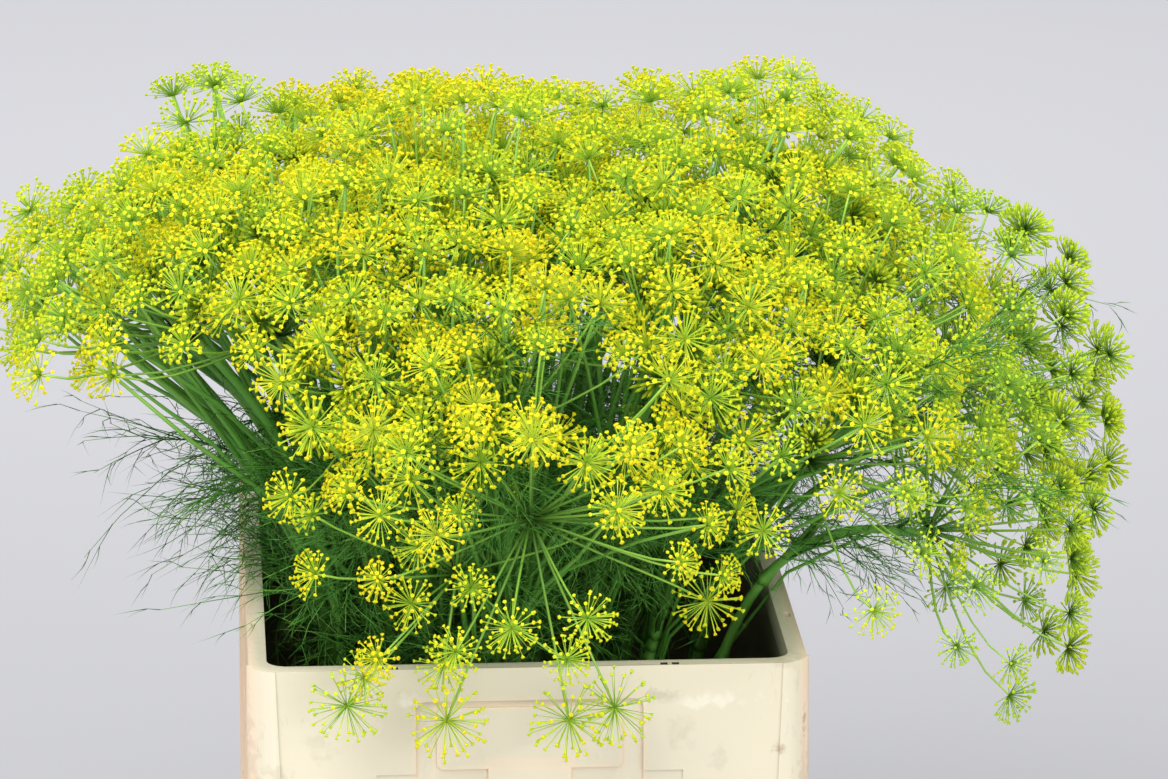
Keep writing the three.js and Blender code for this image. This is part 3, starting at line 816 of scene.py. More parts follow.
# ---------------------------------------------------------------- Where umbellets are left out
BACK_SLOPE = 0.27  # how much a place further back may be lower and still show at the same height
LEAFY_LEFT = (-190 * MM, -128 * MM)  # the gap over the tub's left corner, where only leaves and stems show
LEAFY_BELOW = 535 * MM
THINNED_LEFT = -92 * MM
MOUTH_RIGHT = (36 * MM, 148 * MM)  # the tub's mouth on the right, which stays open to look into
MOUTH_BELOW = 430 * MM
# The crown's shoulders: from one x to the next, the greatest height, which falls towards the back.
SHOULDERS = ((-268 * MM, -206 * MM, 578 * MM), (318 * MM, 420 * MM, 494 * MM))
# The top of the left shoulder, where single green umbellets stand up from the crown.
AIRY = (-212 * MM, -118 * MM)
AIRY_ABOVE = 604 * MM
AIRY_AGE = 0.55
# The dark opening over the middle of the front.
OPENING = np.array([24, -130, 506]) * MM
OPENING_HALF = (42 * MM, 26 * MM)
OPENING_DEPTH = 105 * MM
# The head in the middle of the front, whose hub and rays show because no umbellet hangs before them.
FAN_HEAD = 20
FAN_CENTRE = Head(FAN_HEAD).centre
FAN_CLEAR = 40 * MM
FAN_OUTWARDS = np.array([0, -0.966, 0.259])
FAN_RAYS = 1.5
# The umbellets that hang before the tub: the head that carries each, its place in millimetres and its size.
HANGING = ((25, (-97, -226, 360), 1.25), (25, (-88, -224, 375), 0.85), (25, (-46, -222, 380), 0.9),
           (20, (-45, -226, 351), 1.28), (20, (19, -226, 350), 1.28), (20, (43, -226, 356), 1.25),
           (20, (94, -192, 403), 1.1))
HANGING_FACE = np.array([0, -0.97, -0.1])
HANG_ABOVE_RIM = 6 * MM
# The low front, where umbellets are smaller and stand further apart.
LOW_FRONT_Y = -140 * MM
LOW_FRONT_Z = 110 * MM
LOW_FRONT_SIZE = 0.84


def over_tub(spot, reach):
    """True if a spot is lower than the rim and inside the tub's outline, grown by reach."""
    return bool(spot[2] < TUB_HIGH.z + reach and abs(spot[0]) < TUB_HIGH.x + reach
                and abs(spot[1]) < TUB_HIGH.y + reach)


def hangs_in_front(spot):
    """True for an umbellet that would hide the fan's hub, or that would hang before the tub."""
    offset = spot - FAN_CENTRE
    ahead = offset @ FAN_OUTWARDS
    before_tub = TUB_LOW.y - spot[1]
    return bool(ahead > 0 and np.linalg.norm(offset - ahead * FAN_OUTWARDS) < FAN_CLEAR
                or before_tub > 0 and spot[2] < TUB_HIGH.z + HANG_ABOVE_RIM + BACK_SLOPE * before_tub)


def height_shown(spots):
    """How high spots show, seen from the front."""
    return spots[..., 2] + BACK_SLOPE * spots[..., 1]


def stands_up(spots):
    """True for spots at the top of the left shoulder."""
    return (AIRY[0] < spots[..., 0]) & (spots[..., 0] < AIRY[1]) & (height_shown(spots) > AIRY_ABOVE)


def in_opening(spot):
    """True for a spot before the opening in the middle of the front, through which rays and stems show."""
    aside, back, _ = offset = spot - OPENING
    away = math.hypot(aside / OPENING_HALF[0], height_shown(offset) / OPENING_HALF[1])
    return back < OPENING_DEPTH and away < 1


def above_shoulder(spot):
    return any(start < spot[0] < end and height_shown(spot) > highest for start, end, highest in SHOULDERS)


def on_low_front(spots):
    return (spots[..., 1] < LOW_FRONT_Y) & (spots[..., 2] < TUB_HIGH.z + LOW_FRONT_Z)


def left_out(spot, r):
    """True for the end of ray r where no umbellet shows, and for some rays where the head is thinner."""
    x, y, z = spot
    leafy = LEAFY_LEFT[0] < x < LEAFY_LEFT[1] and z < LEAFY_BELOW
    thinned = LEAFY_LEFT[1] < x < THINNED_LEFT and z < MOUTH_BELOW and r % 3 > 0
    mouth = MOUTH_RIGHT[0] < x < MOUTH_RIGHT[1] and y < 0 and z < MOUTH_BELOW and r % 6 > 0
    airy = stands_up(spot) and r % 5 > 1
    shown = hangs_in_front(spot) or on_low_front(spot) and r % 3 == 1
    return leafy or thinned or mouth or airy or above_shoulder(spot) or in_opening(spot) or shown


# ---------------------------------------------------------------- Umbels
RAY_FLARE = 0.2  # how much longer the outermost rays are
RAY_SHARE = 0.97  # length of a ray as a share of its umbel's, and how much that varies
RAY_SHARE_VARIES = (-0.12, 0.05)
RAY_SPREAD = 1.1  # how much further a ray leans where it leaves the hub
RAY_TO_AXIS = 0.45  # how much an umbellet at the side turns back to its umbel's axis, and up
RAY_UP = 0.25
RAY_SHORTEST = 0.4
RAY_STEP = 4 * MM
TUB_MARGINS = ((0.3, 2 * MM), (0.6, 3 * MM), (1, 20 * MM))  # along a ray: its distance from the tub


def umbel_rays(centre, axis, length, number, widest, turn, draw):
    """The routes of an umbel's rays that don't meet the tub, and the way that each umbellet faces."""
    routes, faces = [], []
    for r, (polar, spin) in enumerate(zip(*dome(number, widest))):
        spin += turn
        way, start = lean(axis, polar, spin), lean(axis, polar * RAY_SPREAD, spin)
        aside = math.sin(polar)
        reach = length * (RAY_SHARE + RAY_FLARE * aside**2 + draw.uniform(*RAY_SHARE_VARIES))
        end = unit(way + RAY_TO_AXIS * aside * axis + RAY_UP * aside * UP)
        while reach > RAY_SHORTEST * length:
            tip = centre + way * reach
            route = bow(centre, start, end, tip, reach, 0.36)
            spots = bezier(route[None], [share for share, _ in TUB_MARGINS])[0][0]
            if not any(over_tub(spot, margin) for spot, (_, margin) in zip(spots, TUB_MARGINS)):
                break
            reach -= RAY_STEP
        else:
            continue
        if not left_out(tip, r):
            routes.append(route)
            faces.append(end)
    return np.array(routes), np.array(faces)


ROUNDS = 12
PUSH = 0.25
NEAR_TUB = 34 * MM


def push_apart(tips, faces, apart, limit):
    """How far umbellets move, at most the limit and never outwards, so that crowded ones share the room."""
    moves = np.zeros_like(tips)
    near_tub = np.array([over_tub(tip, NEAR_TUB) for tip in tips])
    for _ in range(ROUNDS):
        gaps = (tips + moves)[:, None] - (tips + moves)[None]
        distance = np.linalg.norm(gaps, axis=2) + np.eye(len(tips))
        crowding = np.maximum(0, apart - distance) / distance
        moves += PUSH * (gaps * crowding[..., None]).sum(axis=1)
        moves[near_tub] = 0
        moves -= faces * np.maximum(0, (moves * faces).sum(axis=1, keepdims=True))
        moves *= np.minimum(1, limit / np.maximum(np.linalg.norm(moves, axis=1, keepdims=True), MM))
    return moves


def hanging_rays(head):
    """The routes of the head's rays that hang before the tub, and the way that their umbellets face."""
    face = unit(HANGING_FACE)
    routes = []
    for tip in (np.array(spot) * MM for k, spot, _ in HANGING if k == head.k):
        side, reach = unit(tip - head.centre), np.linalg.norm(tip - head.centre)
        routes.append(bow(head.centre, unit(side + 0.3 * face), unit(side + 0.15 * face), tip, reach, 0.3))
    return routes, [face] * len(routes)


MORE_RAYS_UP_RIGHT = 0.2
RAY_GIVES = np.array([0.3, 0.8, 1])[:, None]  # how far a pushed ray's second, third and last points move


def lay_heads(sizes):
    """All the heads, each with its rays' routes, the ways its umbellets face and its random draw."""
    laid = []
    for k in range(STEM_COUNT):
        head, draw = Head(k), np.random.default_rng(100 + k)
        more = FAN_RAYS if k == FAN_HEAD else 1 + MORE_RAYS_UP_RIGHT * head.right**2
        routes, faces = umbel_rays(head.centre, head.axis, head.ray, round(sizes.rays * more),
                                   sizes.widest - head.narrowed, k, draw)
        hung, hung_faces = hanging_rays(head)
        if hung:
            routes, faces = np.concatenate([routes, hung]), np.concatenate([faces, hung_faces])
        laid.append((head, routes, faces, draw))
    tips = np.concatenate([routes[:, 3] for _, routes, _, _ in laid])
    moves = push_apart(tips, np.concatenate([faces for _, _, faces, _ in laid]), sizes.apart, sizes.give)
    for _, routes, _, _ in laid:
        mine, moves = moves[:len(routes)], moves[len(routes):]
        routes[:, 1:] += mine[:, None] * RAY_GIVES
    return laid


HOLLOW = 0.07  # share of an umbellet's dome that stays open in its middle, where the stalks show
OPENS = (0.72, 1.04)  # how far open an umbellet is, as a share, and how far a hanging one is
HANGING_OPENS = 1.1
LEAN_VARIES = (0.94, 1.06)  # of a floret's stalk, each as a share
TURN_VARIES = 0.15
LENGTH_VARIES = (0.86, 1.1)
UMBELLET_VARIES = (0.8, 1.12)
FLORET_VARIES = (0.8, 1.12)
BUD_SMALLER = 0.2  # how much smaller a floret in bud is than an open one
STALK_SPREAD = 1.12  # how much further a floret's stalk leans where it leaves, and turns back to the axis
STALK_TO_AXIS = 0.55
STALK_MIDDLE = 0.74  # length of the stalks in the middle of an umbellet


def umbellets(tips, faces, stalk, number, opening, draw, sizes_of=1.0, hanging=False):
    """The routes of the florets' stalks on every umbellet of an umbel; a hanging one is wide open."""
    n = len(tips)
    each = (n, number)
    hanging = np.broadcast_to(hanging, (n,))[:, None]
    polar, turn = dome(number, opening, HOLLOW)
    polar = polar * draw.uniform(*LEAN_VARIES, each)
    polar = polar * (draw.uniform(*OPENS, (n, 1)) * (1 - hanging) + HANGING_OPENS * hanging)
    turn = turn + draw.uniform(0, 2 * math.pi, (n, 1)) + draw.uniform(-TURN_VARIES, TURN_VARIES, each)
    axis = np.broadcast_to(faces[:, None], (*each, 3))
    way, start = lean(axis, polar, turn), lean(axis, polar * STALK_SPREAD, turn)
    aside = np.sin(polar)
    end = unit(way + STALK_TO_AXIS * aside[..., None] * axis)
    size_of = draw.uniform(*UMBELLET_VARIES, (n, 1)) * (1 - hanging) + hanging
    size_of = size_of * np.broadcast_to(sizes_of, (n,))[:, None]
    length = STALK_MIDDLE + (1 - STALK_MIDDLE) * aside
    reach = (stalk * size_of * length * draw.uniform(*LENGTH_VARIES, each))[..., None]
    root = np.broadcast_to(tips[:, None], (*each, 3))
    return bow(root, start, end, root + way * reach, reach).reshape(-1, 4, 3)


HUB = (-2, 1, 4, 7)  # millimetres below an umbel's middle where its hub runs
HUB_RADIUS = 2.7 * MM
CLOSED_RIGHT = 280 * MM  # where umbellets at the far right are still closed
CLUB_RADIUS = 1.3 * MM
CLOSED_AGE = 0.6
FILLED_FROM = 0.15  # how far up a head faces at least, from 0 at the side to 1 on top, to be filled
FILLED_LEFT_OF = 0.85
INNER_BUDS = 32
INNER_LOWEST = 470 * MM
INNER_REACH = (0.42, 0.68)
INNER_TURN = 2.1
INNER_OPENING = math.radians(88)
BUD_RADIUS = 1.05 * MM
BUD_AGES = (0.05, 0.6)
OLDEST = 0.94  # how far open the florets of a head on top are, then how much less at the right and the left
YOUNGER_RIGHT = 0.95
YOUNGER_LEFT = 0.25
AGE_VARIES = 0.14  # from head to head, from umbellet to umbellet, and from floret to floret
UMBELLET_AGE_VARIES = (-0.38, 0.2)
FLORET_AGE_VARIES = 0.2
YOUNGER_OUTSIDE = 0.1  # how much younger the outermost florets are, and how much more so where they hang
YOUNGER_HANGING = 0.7


class DILL_OT_umbels(bpy.types.Operator):
    """Model the flower heads: rays that spring from the stem's tip, each with an umbellet of small florets"""
    bl_idname = "dill.umbels"
    bl_label = "Umbels"

    def execute(self, context):
        sizes = context.scene.dill.heads
        floret, bud, club, ray = model_floret(sizes), model_needle(0.8), model_club(), model_stalk(4, 4, 0.75)
        materials = [ray_material(sizes), petal_material(sizes)]
        for head, routes, faces, draw in lay_heads(sizes):
            made = Gather()
            made.add(ray, routes, sizes.ray_radius, 0)
            made.add(ray, [[head.centre - head.axis * s * MM for s in HUB]], HUB_RADIUS, 0)
            tips = routes[:, 3]
            hung = [share for k, _, share in HANGING if k == head.k]
            hanging = np.arange(len(tips)) >= len(tips) - len(hung)
            sizes_of = np.where(on_low_front(tips), LOW_FRONT_SIZE, 1.0)
            sizes_of[hanging] = hung
            stalks = umbellets(tips, faces, sizes.stalk, sizes.florets, sizes.open, draw, sizes_of, hanging)
            age = self.ages(head, hanging, sizes.florets, draw)
            smaller, airy, closed = (np.repeat(each, sizes.florets) for each in (
                np.minimum(1, sizes_of), stands_up(tips), tips[:, 0] > CLOSED_RIGHT))
            age[airy] *= AIRY_AGE
            thick = draw.uniform(*FLORET_VARIES, len(stalks)) * (1 - BUD_SMALLER * (1 - age)) * smaller
            spin = draw.uniform(0, math.pi, len(stalks))
            made.add(floret, stalks[~closed], thick[~closed], 1, age[~closed], spin[~closed])
            made.add(club, stalks[closed], CLUB_RADIUS * thick[closed], 1, CLOSED_AGE * age[closed])
            if head.out[2] > FILLED_FROM and head.out[0] < FILLED_LEFT_OF and head.k != FAN_HEAD:
                self.fill(made, head, ray, bud, sizes, draw)
            made.finish(head, "umbel_flowers", materials, "umbel", "dill_flower")
        return {"FINISHED"}

    def fill(self, made, head, ray, bud, sizes, draw):
        """Short inner rays with green umbellets in bud, which close the gaps between the open ones."""
        polar, turn = dome(sizes.inner, sizes.widest)
        ways = lean(head.axis[None], polar, turn + INNER_TURN)
        tips = head.centre + ways * head.ray * draw.uniform(*INNER_REACH, (sizes.inner, 1))
        kept = [n for n, tip in enumerate(tips) if not left_out(tip, n) and tip[2] > INNER_LOWEST]
        tips, ways = tips[kept], ways[kept]
        starts = np.broadcast_to(head.centre, tips.shape)
        made.add(ray, bow(starts, tips - starts, tips - starts, tips, 1, 0.35), 0.7 * sizes.ray_radius, 0)
        buds = umbellets(tips, ways, sizes.stalk, INNER_BUDS, INNER_OPENING, draw)
        made.add(bud, buds, BUD_RADIUS, 1, np.repeat(draw.uniform(*BUD_AGES, len(tips)), INNER_BUDS))

    def ages(self, head, hanging, florets, draw):
        """How far open the florets are, from 0 for a bud to 1: less so at the sides, and at random."""
        sideways = YOUNGER_RIGHT * head.right**2 + YOUNGER_LEFT * head.left**2
        whole = OLDEST - sideways * head.skirt + AGE_VARIES * wobble(head.k, 5)
        outer = np.linspace(0, 1, florets)[None] * (YOUNGER_OUTSIDE + YOUNGER_HANGING * hanging[:, None])
        each = whole + draw.uniform(*UMBELLET_AGE_VARIES, (len(hanging), 1)) - outer
        return np.clip(each + draw.uniform(-FLORET_AGE_VARIES, FLORET_AGE_VARIES, each.shape), 0, 1).ravel()


# ---------------------------------------------------------------- Leafy stems
RIM_WIDTH = 12 * MM
SKIN = 1.5 * MM


def off_the_walls(routes):
    """The routes that don't pass through the tub's walls or rim, nor hang down in front of it."""
    spots = bezier(routes, [0.35, 0.7, 1])[0]
    x, y, z = np.abs(spots[..., 0]), np.abs(spots[..., 1]), spots[..., 2]
    inside = (x < TUB_HIGH.x - RIM_WIDTH - SKIN) & (y < TUB_HIGH.y - RIM_WIDTH - SKIN)
    outside = (x > TUB_HIGH.x + SKIN) | (spots[..., 1] > TUB_HIGH.y + SKIN)
    return routes[(inside | outside | (z > TUB_HIGH.z + SKIN)).all(axis=1)]


TWIG_VARIES = np.array([0.06, 0.25, 0.8])  # where a thread leaves its parent, how far it leans and its turn
TWIG_LENGTH_VARIES = (0.6, 1.25)
TWIG_SAGS = 0.4


def twigs(parents, shares, polar, turns, reach, curl, draw):
    """The routes of the threads that leave each parent near the given shares of its length."""
    each = (len(parents), len(shares))
    along, leans, turned = (draw.uniform(-most, most, each) for most in TWIG_VARIES)
    spots, ways = bezier(parents, np.clip(shares + along, 0, 1))
    out = lean(ways, polar + leans, turns + turned)
    reach = (reach * draw.uniform(*TWIG_LENGTH_VARIES, each))[..., None]
    bend = draw.uniform(-curl, curl, (*each, 3)) - TWIG_SAGS * curl * UP
    tips = spots + (out + 0.5 * bend) * reach
    return off_the_walls(bow(spots, out, unit(out + bend), tips, reach, 0.4, 0.35).reshape(-1, 4, 3))


PINNAE = 6  # pairs of side branches on a frond's rib
DROOPS = (0.1, 0.4)  # how far a frond's tip hangs down, and how far its rib bends, as shares of its length
BENDS = 0.2
# How curly and how long a frond's threads are, and how many threads and forks it has; then a wispy one's.
FULL = (0.6, 1.0, 6, 2)
WISPY = (0.95, 1.15, 4, 1)
PINNA_LEANS, THREAD_LEANS, FORK_LEANS = (math.radians(turn) for turn in (42, 34, 28))


def frond_routes(base, way, length, sizes, draw, wispy):
    """The routes of a frond: its rib, its side branches, and their threads with the forks of those."""
    droop = draw.uniform(*DROOPS) * length * UP
    bent = draw.uniform(-BENDS, BENDS, 3) * length
    rib = np.array([[base, base + way * length * 0.35 + bent * 0.5,
                     base + way * length * 0.7 + bent - droop * 0.3, base + way * length + bent - droop]])
    hands = np.array([0, math.pi])
    curl, longer, threads_each, forks_each = WISPY if wispy else FULL
    at = np.repeat(np.linspace(0.3, 0.97, PINNAE), 2)
    profile = np.sin(math.pi * (0.2 + 0.6 * at))
    branches = twigs(rib, at, PINNA_LEANS, np.tile(hands, PINNAE), sizes.pinna * profile * longer, curl, draw)
    at = np.linspace(0.25, 0.97, threads_each)
    reach = sizes.thread * longer * (1.1 - 0.3 * at)
    threads = twigs(branches, at, THREAD_LEANS, np.resize(hands, len(at)), reach, curl, draw)
    forks = twigs(threads, np.array([0.35, 0.6])[:forks_each], FORK_LEANS, hands[:forks_each],
                  0.5 * reach.mean(), curl, draw)
    return rib, branches, np.concatenate([threads, forks])


STEM_CUTS = 24
RIB_DEPTH = 0.06
RIB_RADIUS = 1.0 * MM  # of a frond's rib, and then of its side branches
PINNA_RADIUS = 0.45 * MM
WISPY_LEFT = -0.45
BRANCH_STARTS = (-90, 50)  # from the rim up, in millimetres
# How far above the rim a side branch ends at least; more at the far left.
BRANCH_LOWEST = 60 * MM
BRANCH_LEFT = -170 * MM
BRANCH_LEFT_SLOPE = 0.9
STEEP_LEFT = 1.1
SHEATH = (6, 2, -3, -8)  # millimetres along the stem where a sheath runs
SHEATH_RADIUS = 1.25  # as a share of the stem's
# Fronds close under the flower heads: how far aside and how far up a head may face, and their sizes.
HIGH_WITHIN, HIGH_FROM = 0.8, 0.3
HIGH_BELOW_HEAD = (0.35, 0.8)
HIGH_RISES = 0.35
HIGH_FROND = 0.75
# A low frond's height over the rim in millimetres, its turn and its steepness; then those of a higher one.
LOW_FROND = ((-75, -10), (-math.pi, math.pi), (0.9, 2.0))
FROND = ((8, 85), (-1.1, 1.1), (0.1, 0.8))
HIGHER_ON_TOP, LOWER_LEFT = 75, 50
FROND_LENGTHS = (0.7, 1.1)
SHORTER_LEFT = 0.54
MORE_FRONDS = ((-0.5, 2), (-0.2, 0), (math.inf, -1))  # more or fewer of them, from the left to the right
# The young umbel at the side of a stem: its branch, its rays and its florets.
SIDE_STARTS = (-20, 30)
SIDE_UMBEL, SIDE_RADIUS = 75 * MM, 1.5 * MM
SIDE_RAYS, SIDE_RAY, SIDE_RAY_RADIUS, SIDE_WIDEST = 9, 20 * MM, 0.4 * MM, math.radians(75)
SIDE_FLORETS, SIDE_STALK, SIDE_OPEN, SIDE_SIZE, SIDE_AGE = 10, 5 * MM, math.radians(90), 0.55, 0.15


class DILL_OT_stems(bpy.types.Operator):
    """Model the leafy stems: ribbed stalks with thread-like fronds and a few young side umbels"""
    bl_idname = "dill.stems"
    bl_label = "Leafy Stems"

    def execute(self, context):
        sizes, heads = context.scene.dill.stems, context.scene.dill.heads
        stalk, branch, twig = self.model_stem(sizes), model_stalk(4, 3, 0.45), model_stalk(3, 2, 0.35)
        thread, curly_thread, floret = model_needle(0.35), model_stalk(3, 2, 0), model_floret(heads)
        materials = [stem_material(sizes), leaf_material(sizes), ray_material(heads), petal_material(heads)]
        for head, rays, faces, _ in lay_heads(heads):
            draw = np.random.default_rng(500 + head.k)
            wispy = head.out[0] < WISPY_LEFT
            made = Gather()
            made.add(stalk, head.stem[None], 1.0, 0)
            for base, way, length in self.frond_seats(head, sizes, draw):
                rib, branches, threads = frond_routes(base, way, length, sizes, draw, wispy)
                made.add(branch, rib, RIB_RADIUS, 1)
                made.add(twig, branches, PINNA_RADIUS, 1)
                made.add(curly_thread if wispy else thread, threads, sizes.thread_radius, 1)
            self.side_branches(made, head, rays[:, 3], faces, branch, sizes, draw)
            if head.k % 2 == 1:
                self.side_umbel(made, head, branch, floret, draw)
            made.finish(head, "leafy_stem", materials, "stem", "dill_stem")
        return {"FINISHED"}

    def model_stem(self, sizes):
        """A ribbed stalk that tapers to its tip; its grade is 1 on the ribs and 0 between them."""
        stalk = model_stalk(2 * sizes.ribs, STEM_CUTS, 1)
        around = np.arctan2(stalk.points[:, 1], stalk.points[:, 0])
        stalk.grade = 0.5 + 0.5 * np.cos(sizes.ribs * around)
        radius = sizes.foot + (sizes.tip - sizes.foot) * stalk.along
        stalk.points[:, :2] *= (radius * (1 - RIB_DEPTH + RIB_DEPTH * stalk.grade))[:, None]
        return stalk

    def side_branches(self, made, head, tips, faces, branch, sizes, draw):
        """Branches that leave the stem at sheathed nodes near the rim and rise into the flower head."""
        routes, sheaths = [], []
        steep = STEEP_LEFT * head.left * UP
        for n in range(sizes.branches):
            base, way = self.spot_at(head, TUB_HIGH.z + draw.uniform(*BRANCH_STARTS) * MM)
            end = int(len(tips) * (n + 0.5) / sizes.branches)
            start = unit(way + draw.uniform(-0.25, 0.25, 3) + steep)
            rise = unit(faces[end] + 0.5 * head.axis + 0.5 * steep)
            routes.append(bow(base, start, rise, tips[end], np.linalg.norm(tips[end] - base)))
            sheaths.append([base - way * s * MM for s in SHEATH])
        kept = [n for n, route in enumerate(routes) if len(off_the_walls(route[None]))]
        if kept:
            routes, sheaths = np.array(routes)[kept], np.array(sheaths)[kept]
            thick = sizes.branch * draw.uniform(0.7, 1.1, len(kept)) * (1 + 0.5 * head.left)
            spin = draw.uniform(0, 1, len(kept))
            further_left = np.maximum(0, BRANCH_LEFT - routes[:, 3, 0])
            high = routes[:, 3, 2] > TUB_HIGH.z + BRANCH_LOWEST + BRANCH_LEFT_SLOPE * further_left
            made.add(branch, routes[high], thick[high], 0, spin=spin[high])
            made.add(branch, sheaths[high], SHEATH_RADIUS * sizes.foot, 0)

    def frond_seats(self, head, sizes, draw):
        """Where fronds leave a stem, each with its way and length: first close under the flower heads, then
        in the tub's mouth, where they stay steep, and at last above the rim."""
        out_x, out_y, _ = unit(head.out * (1, 1, 0))
        seats = []
        high = abs(head.out[0]) < HIGH_WITHIN and head.out[2] > HIGH_FROM
        for _ in range(sizes.high_fronds if high else 0):
            height = head.centre[2] - draw.uniform(*HIGH_BELOW_HEAD) * (head.centre[2] - TUB_HIGH.z)
            flat = lean(UP, 0.5 * math.pi, draw.uniform(-math.pi, math.pi))
            way = unit(flat + HIGH_RISES * head.axis)
            seats.append((self.spot_at(head, height)[0], way, HIGH_FROND * sizes.frond))
        extra = next(more for limit, more in MORE_FRONDS if head.out[0] < limit)
        for n in range(sizes.fronds + extra):
            low = n < sizes.fronds / 2 + extra
            (lowest, highest), turns, rises = LOW_FROND if low else FROND
            if not low:
                highest += HIGHER_ON_TOP * max(0, head.out[2]) - LOWER_LEFT * head.left
            height = TUB_HIGH.z + draw.uniform(lowest, highest) * MM
            turn = draw.uniform(*turns)
            c, s = math.cos(turn), math.sin(turn)
            steep = draw.uniform(*rises) + (0 if low else max(0, -out_y))
            length = sizes.frond * draw.uniform(*FROND_LENGTHS) * (1 - SHORTER_LEFT * head.left)
            way = unit(np.array([c * out_x - s * out_y, s * out_x + c * out_y, steep]))
            seats.append((self.spot_at(head, height)[0], way, length))
        return seats

    def spot_at(self, head, height):
        """The point of a stem at a height, and the way that the stem runs there."""
        spots, ways = bezier(head.stem[None], np.linspace(0, 1, 60))
        nearest = np.argmin(np.abs(spots[0, :, 2] - height))
        return spots[0, nearest], ways[0, nearest]

    def side_umbel(self, made, head, branch, floret, draw):
        """A young green umbel on a thin side branch."""
        base, _ = self.spot_at(head, TUB_HIGH.z + draw.uniform(*SIDE_STARTS) * MM)
        outwards = unit(head.out * (1, 1, 0))
        way = unit(outwards * 0.5 + np.array([draw.uniform(-0.4, 0.4), 0, 1.2]))
        tip = base + way * SIDE_UMBEL
        route = np.array([[base, base + way * 25 * MM + outwards * 6 * MM, tip - way * 20 * MM, tip]])
        made.add(branch, route, SIDE_RADIUS, 2)
        routes, faces = umbel_rays(tip, way, SIDE_RAY, SIDE_RAYS, SIDE_WIDEST, head.k, draw)
        if len(routes):
            made.add(branch, routes, SIDE_RAY_RADIUS, 2)
            stalks = umbellets(routes[:, 3], faces, SIDE_STALK, SIDE_FLORETS, SIDE_OPEN, draw)
            made.add(floret, stalks, SIDE_SIZE, 3, SIDE_AGE)


# ---------------------------------------------------------------- Stage
FLOOR_SIZE = 40
FRAME_WIDTH = 1168
FRAME_HEIGHT = 779
RIM_MIDDLE = (530, 669)  # pixel of the middle of the front rim
RIM_SPAN = 571  # pixels that the front rim spans
SENSOR = 36
BUNCH_MIDDLE = (0, 0, 0.42)
BACKDROP = (0, 4.5, 0)
# Each light's place, width and what it points at.
LIGHTS = {"key": ((-0.9, -1.9, 2.8), 1.8, BUNCH_MIDDLE), "fill": ((1.3, -2.9, 0.95), 2.0, BUNCH_MIDDLE),
          "backdrop": ((0, 2.6, 2.6), 3.0, BACKDROP)}


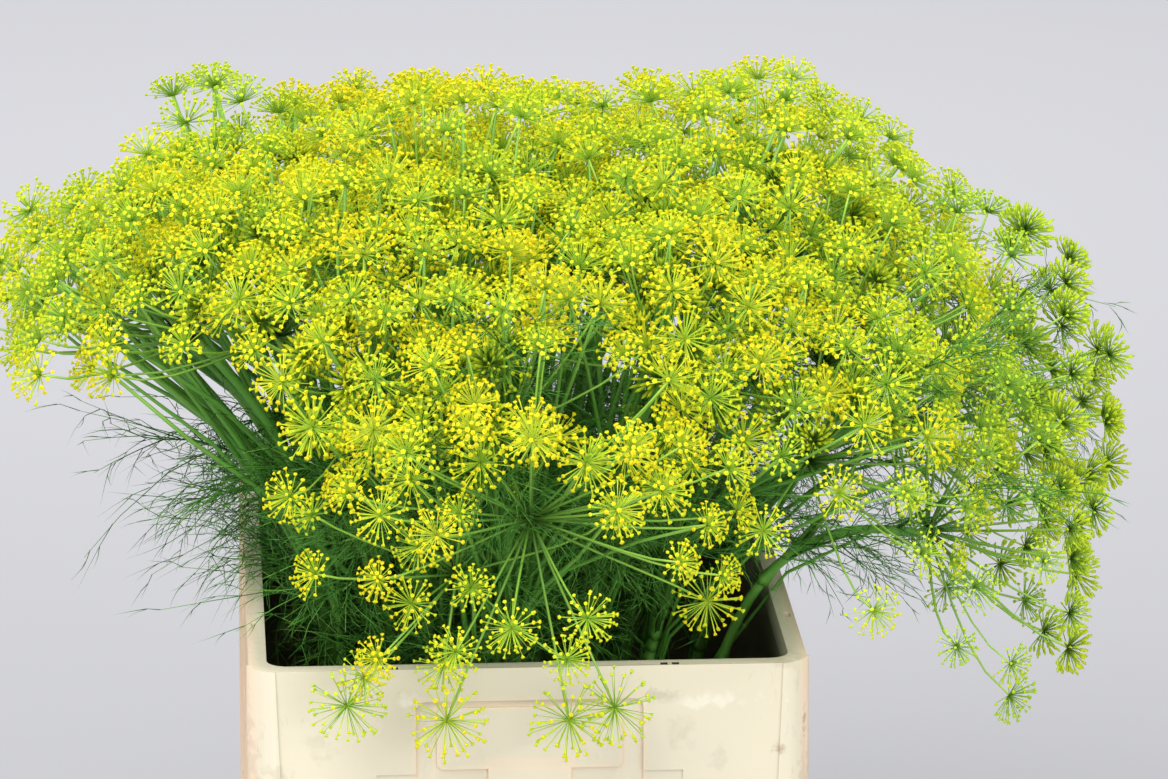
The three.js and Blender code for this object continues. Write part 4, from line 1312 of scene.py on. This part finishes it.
class DILL_OT_stage(bpy.types.Operator):
    """Set up the pale floor, the soft lights and the camera"""
    bl_idname = "dill.stage"
    bl_label = "Stage"

    def execute(self, context):
        stage = context.scene.dill.stage
        deselect()
        bpy.ops.mesh.primitive_plane_add(size=FLOOR_SIZE, location=(0, 0, 0))
        floor = bpy.context.object
        floor.name = "studio_floor"
        floor.data.materials.append(floor_material(stage))
        for name, (spot, width, target) in LIGHTS.items():
            bpy.ops.object.light_add(type="AREA", location=spot)
            light = bpy.context.object
            light.name = name + "_light"
            light.data.size, light.data.energy = width, getattr(stage, name)
            light.rotation_euler = (Vector(target) - Vector(spot)).to_track_quat("-Z", "Y").to_euler()
        world = bpy.data.worlds.new("studio_air")
        world.use_nodes = True
        air = world.node_tree.nodes["Background"].inputs
        air["Color"].default_value, air["Strength"].default_value = (*linear("#f3f3f6"), 1), stage.ambient
        context.scene.world = world
        context.scene.view_settings.view_transform = "Standard"
        self.add_camera(context, stage)
        return {"FINISHED"}

    def add_camera(self, context, stage):
        """Puts the middle of the front rim at its pixel, at the size that the rim spans there."""
        deselect()
        bpy.ops.object.camera_add()
        camera = bpy.context.object
        focal = RIM_SPAN / (2 * TUB_HIGH.x) * stage.distance
        camera.data.sensor_width = SENSOR
        camera.data.lens = focal * SENSOR / FRAME_WIDTH
        camera.data.clip_end = 100
        e, a = stage.elevation, stage.azimuth
        ahead = Vector((-math.sin(a) * math.cos(e), math.cos(a) * math.cos(e), -math.sin(e)))
        right = Vector((math.cos(a), math.sin(a), 0))
        above = right.cross(ahead)
        rim = Vector((0, TUB_LOW.y, TUB_HIGH.z))
        x = (RIM_MIDDLE[0] - FRAME_WIDTH / 2) / focal * stage.distance
        y = (FRAME_HEIGHT / 2 - RIM_MIDDLE[1]) / focal * stage.distance
        camera.location = rim - ahead * stage.distance - right * x - above * y
        camera.rotation_euler = ahead.to_track_quat("-Z", "Y").to_euler()
        context.scene.camera = camera


# ---------------------------------------------------------------- Panel and registration
class DillSettings(bpy.types.PropertyGroup):
    tub: PointerProperty(type=TubSettings, name="Tub", description="Sizes and colours of the tub")
    heads: PointerProperty(type=HeadSettings, name="Heads", description="Sizes and colours of the umbels")
    stems: PointerProperty(type=StemSettings, name="Stems", description="Sizes and colours of the stems")
    stage: PointerProperty(type=StageSettings, name="Stage", description="Floor, lights and camera")


class DILL_PT_panel(bpy.types.Panel):
    """Sizes, colours and modelling steps of the dill bunch"""
    bl_idname = "DILL_PT_panel"
    bl_label = "Dill Bunch"
    bl_space_type = "VIEW_3D"
    bl_region_type = "UI"
    bl_category = "Dill"

    def draw(self, context):
        settings = context.scene.dill
        for label, step in (("tub", "dill.tub"), ("stems", "dill.stems"), ("heads", "dill.umbels"),
                            ("stage", "dill.stage")):
            box = self.layout.box()
            group = getattr(settings, label)
            for name in group.__annotations__:
                box.prop(group, name)
            box.operator(step)
        self.layout.operator("dill.water")


CLASSES = (TubSettings, HeadSettings, StemSettings, StageSettings, DillSettings,
           DILL_OT_tub, DILL_OT_water, DILL_OT_stems, DILL_OT_umbels, DILL_OT_stage, DILL_PT_panel)


def register():
    for cls in CLASSES:
        bpy.utils.register_class(cls)
    bpy.types.Scene.dill = PointerProperty(type=DillSettings)


def unregister():
    del bpy.types.Scene.dill
    for cls in reversed(CLASSES):
        bpy.utils.unregister_class(cls)


def main():
    register()
    bpy.ops.dill.tub()
    bpy.ops.dill.water()
    bpy.ops.dill.stems()
    bpy.ops.dill.umbels()
    bpy.ops.dill.stage()


if __name__ == "__main__":
    main()
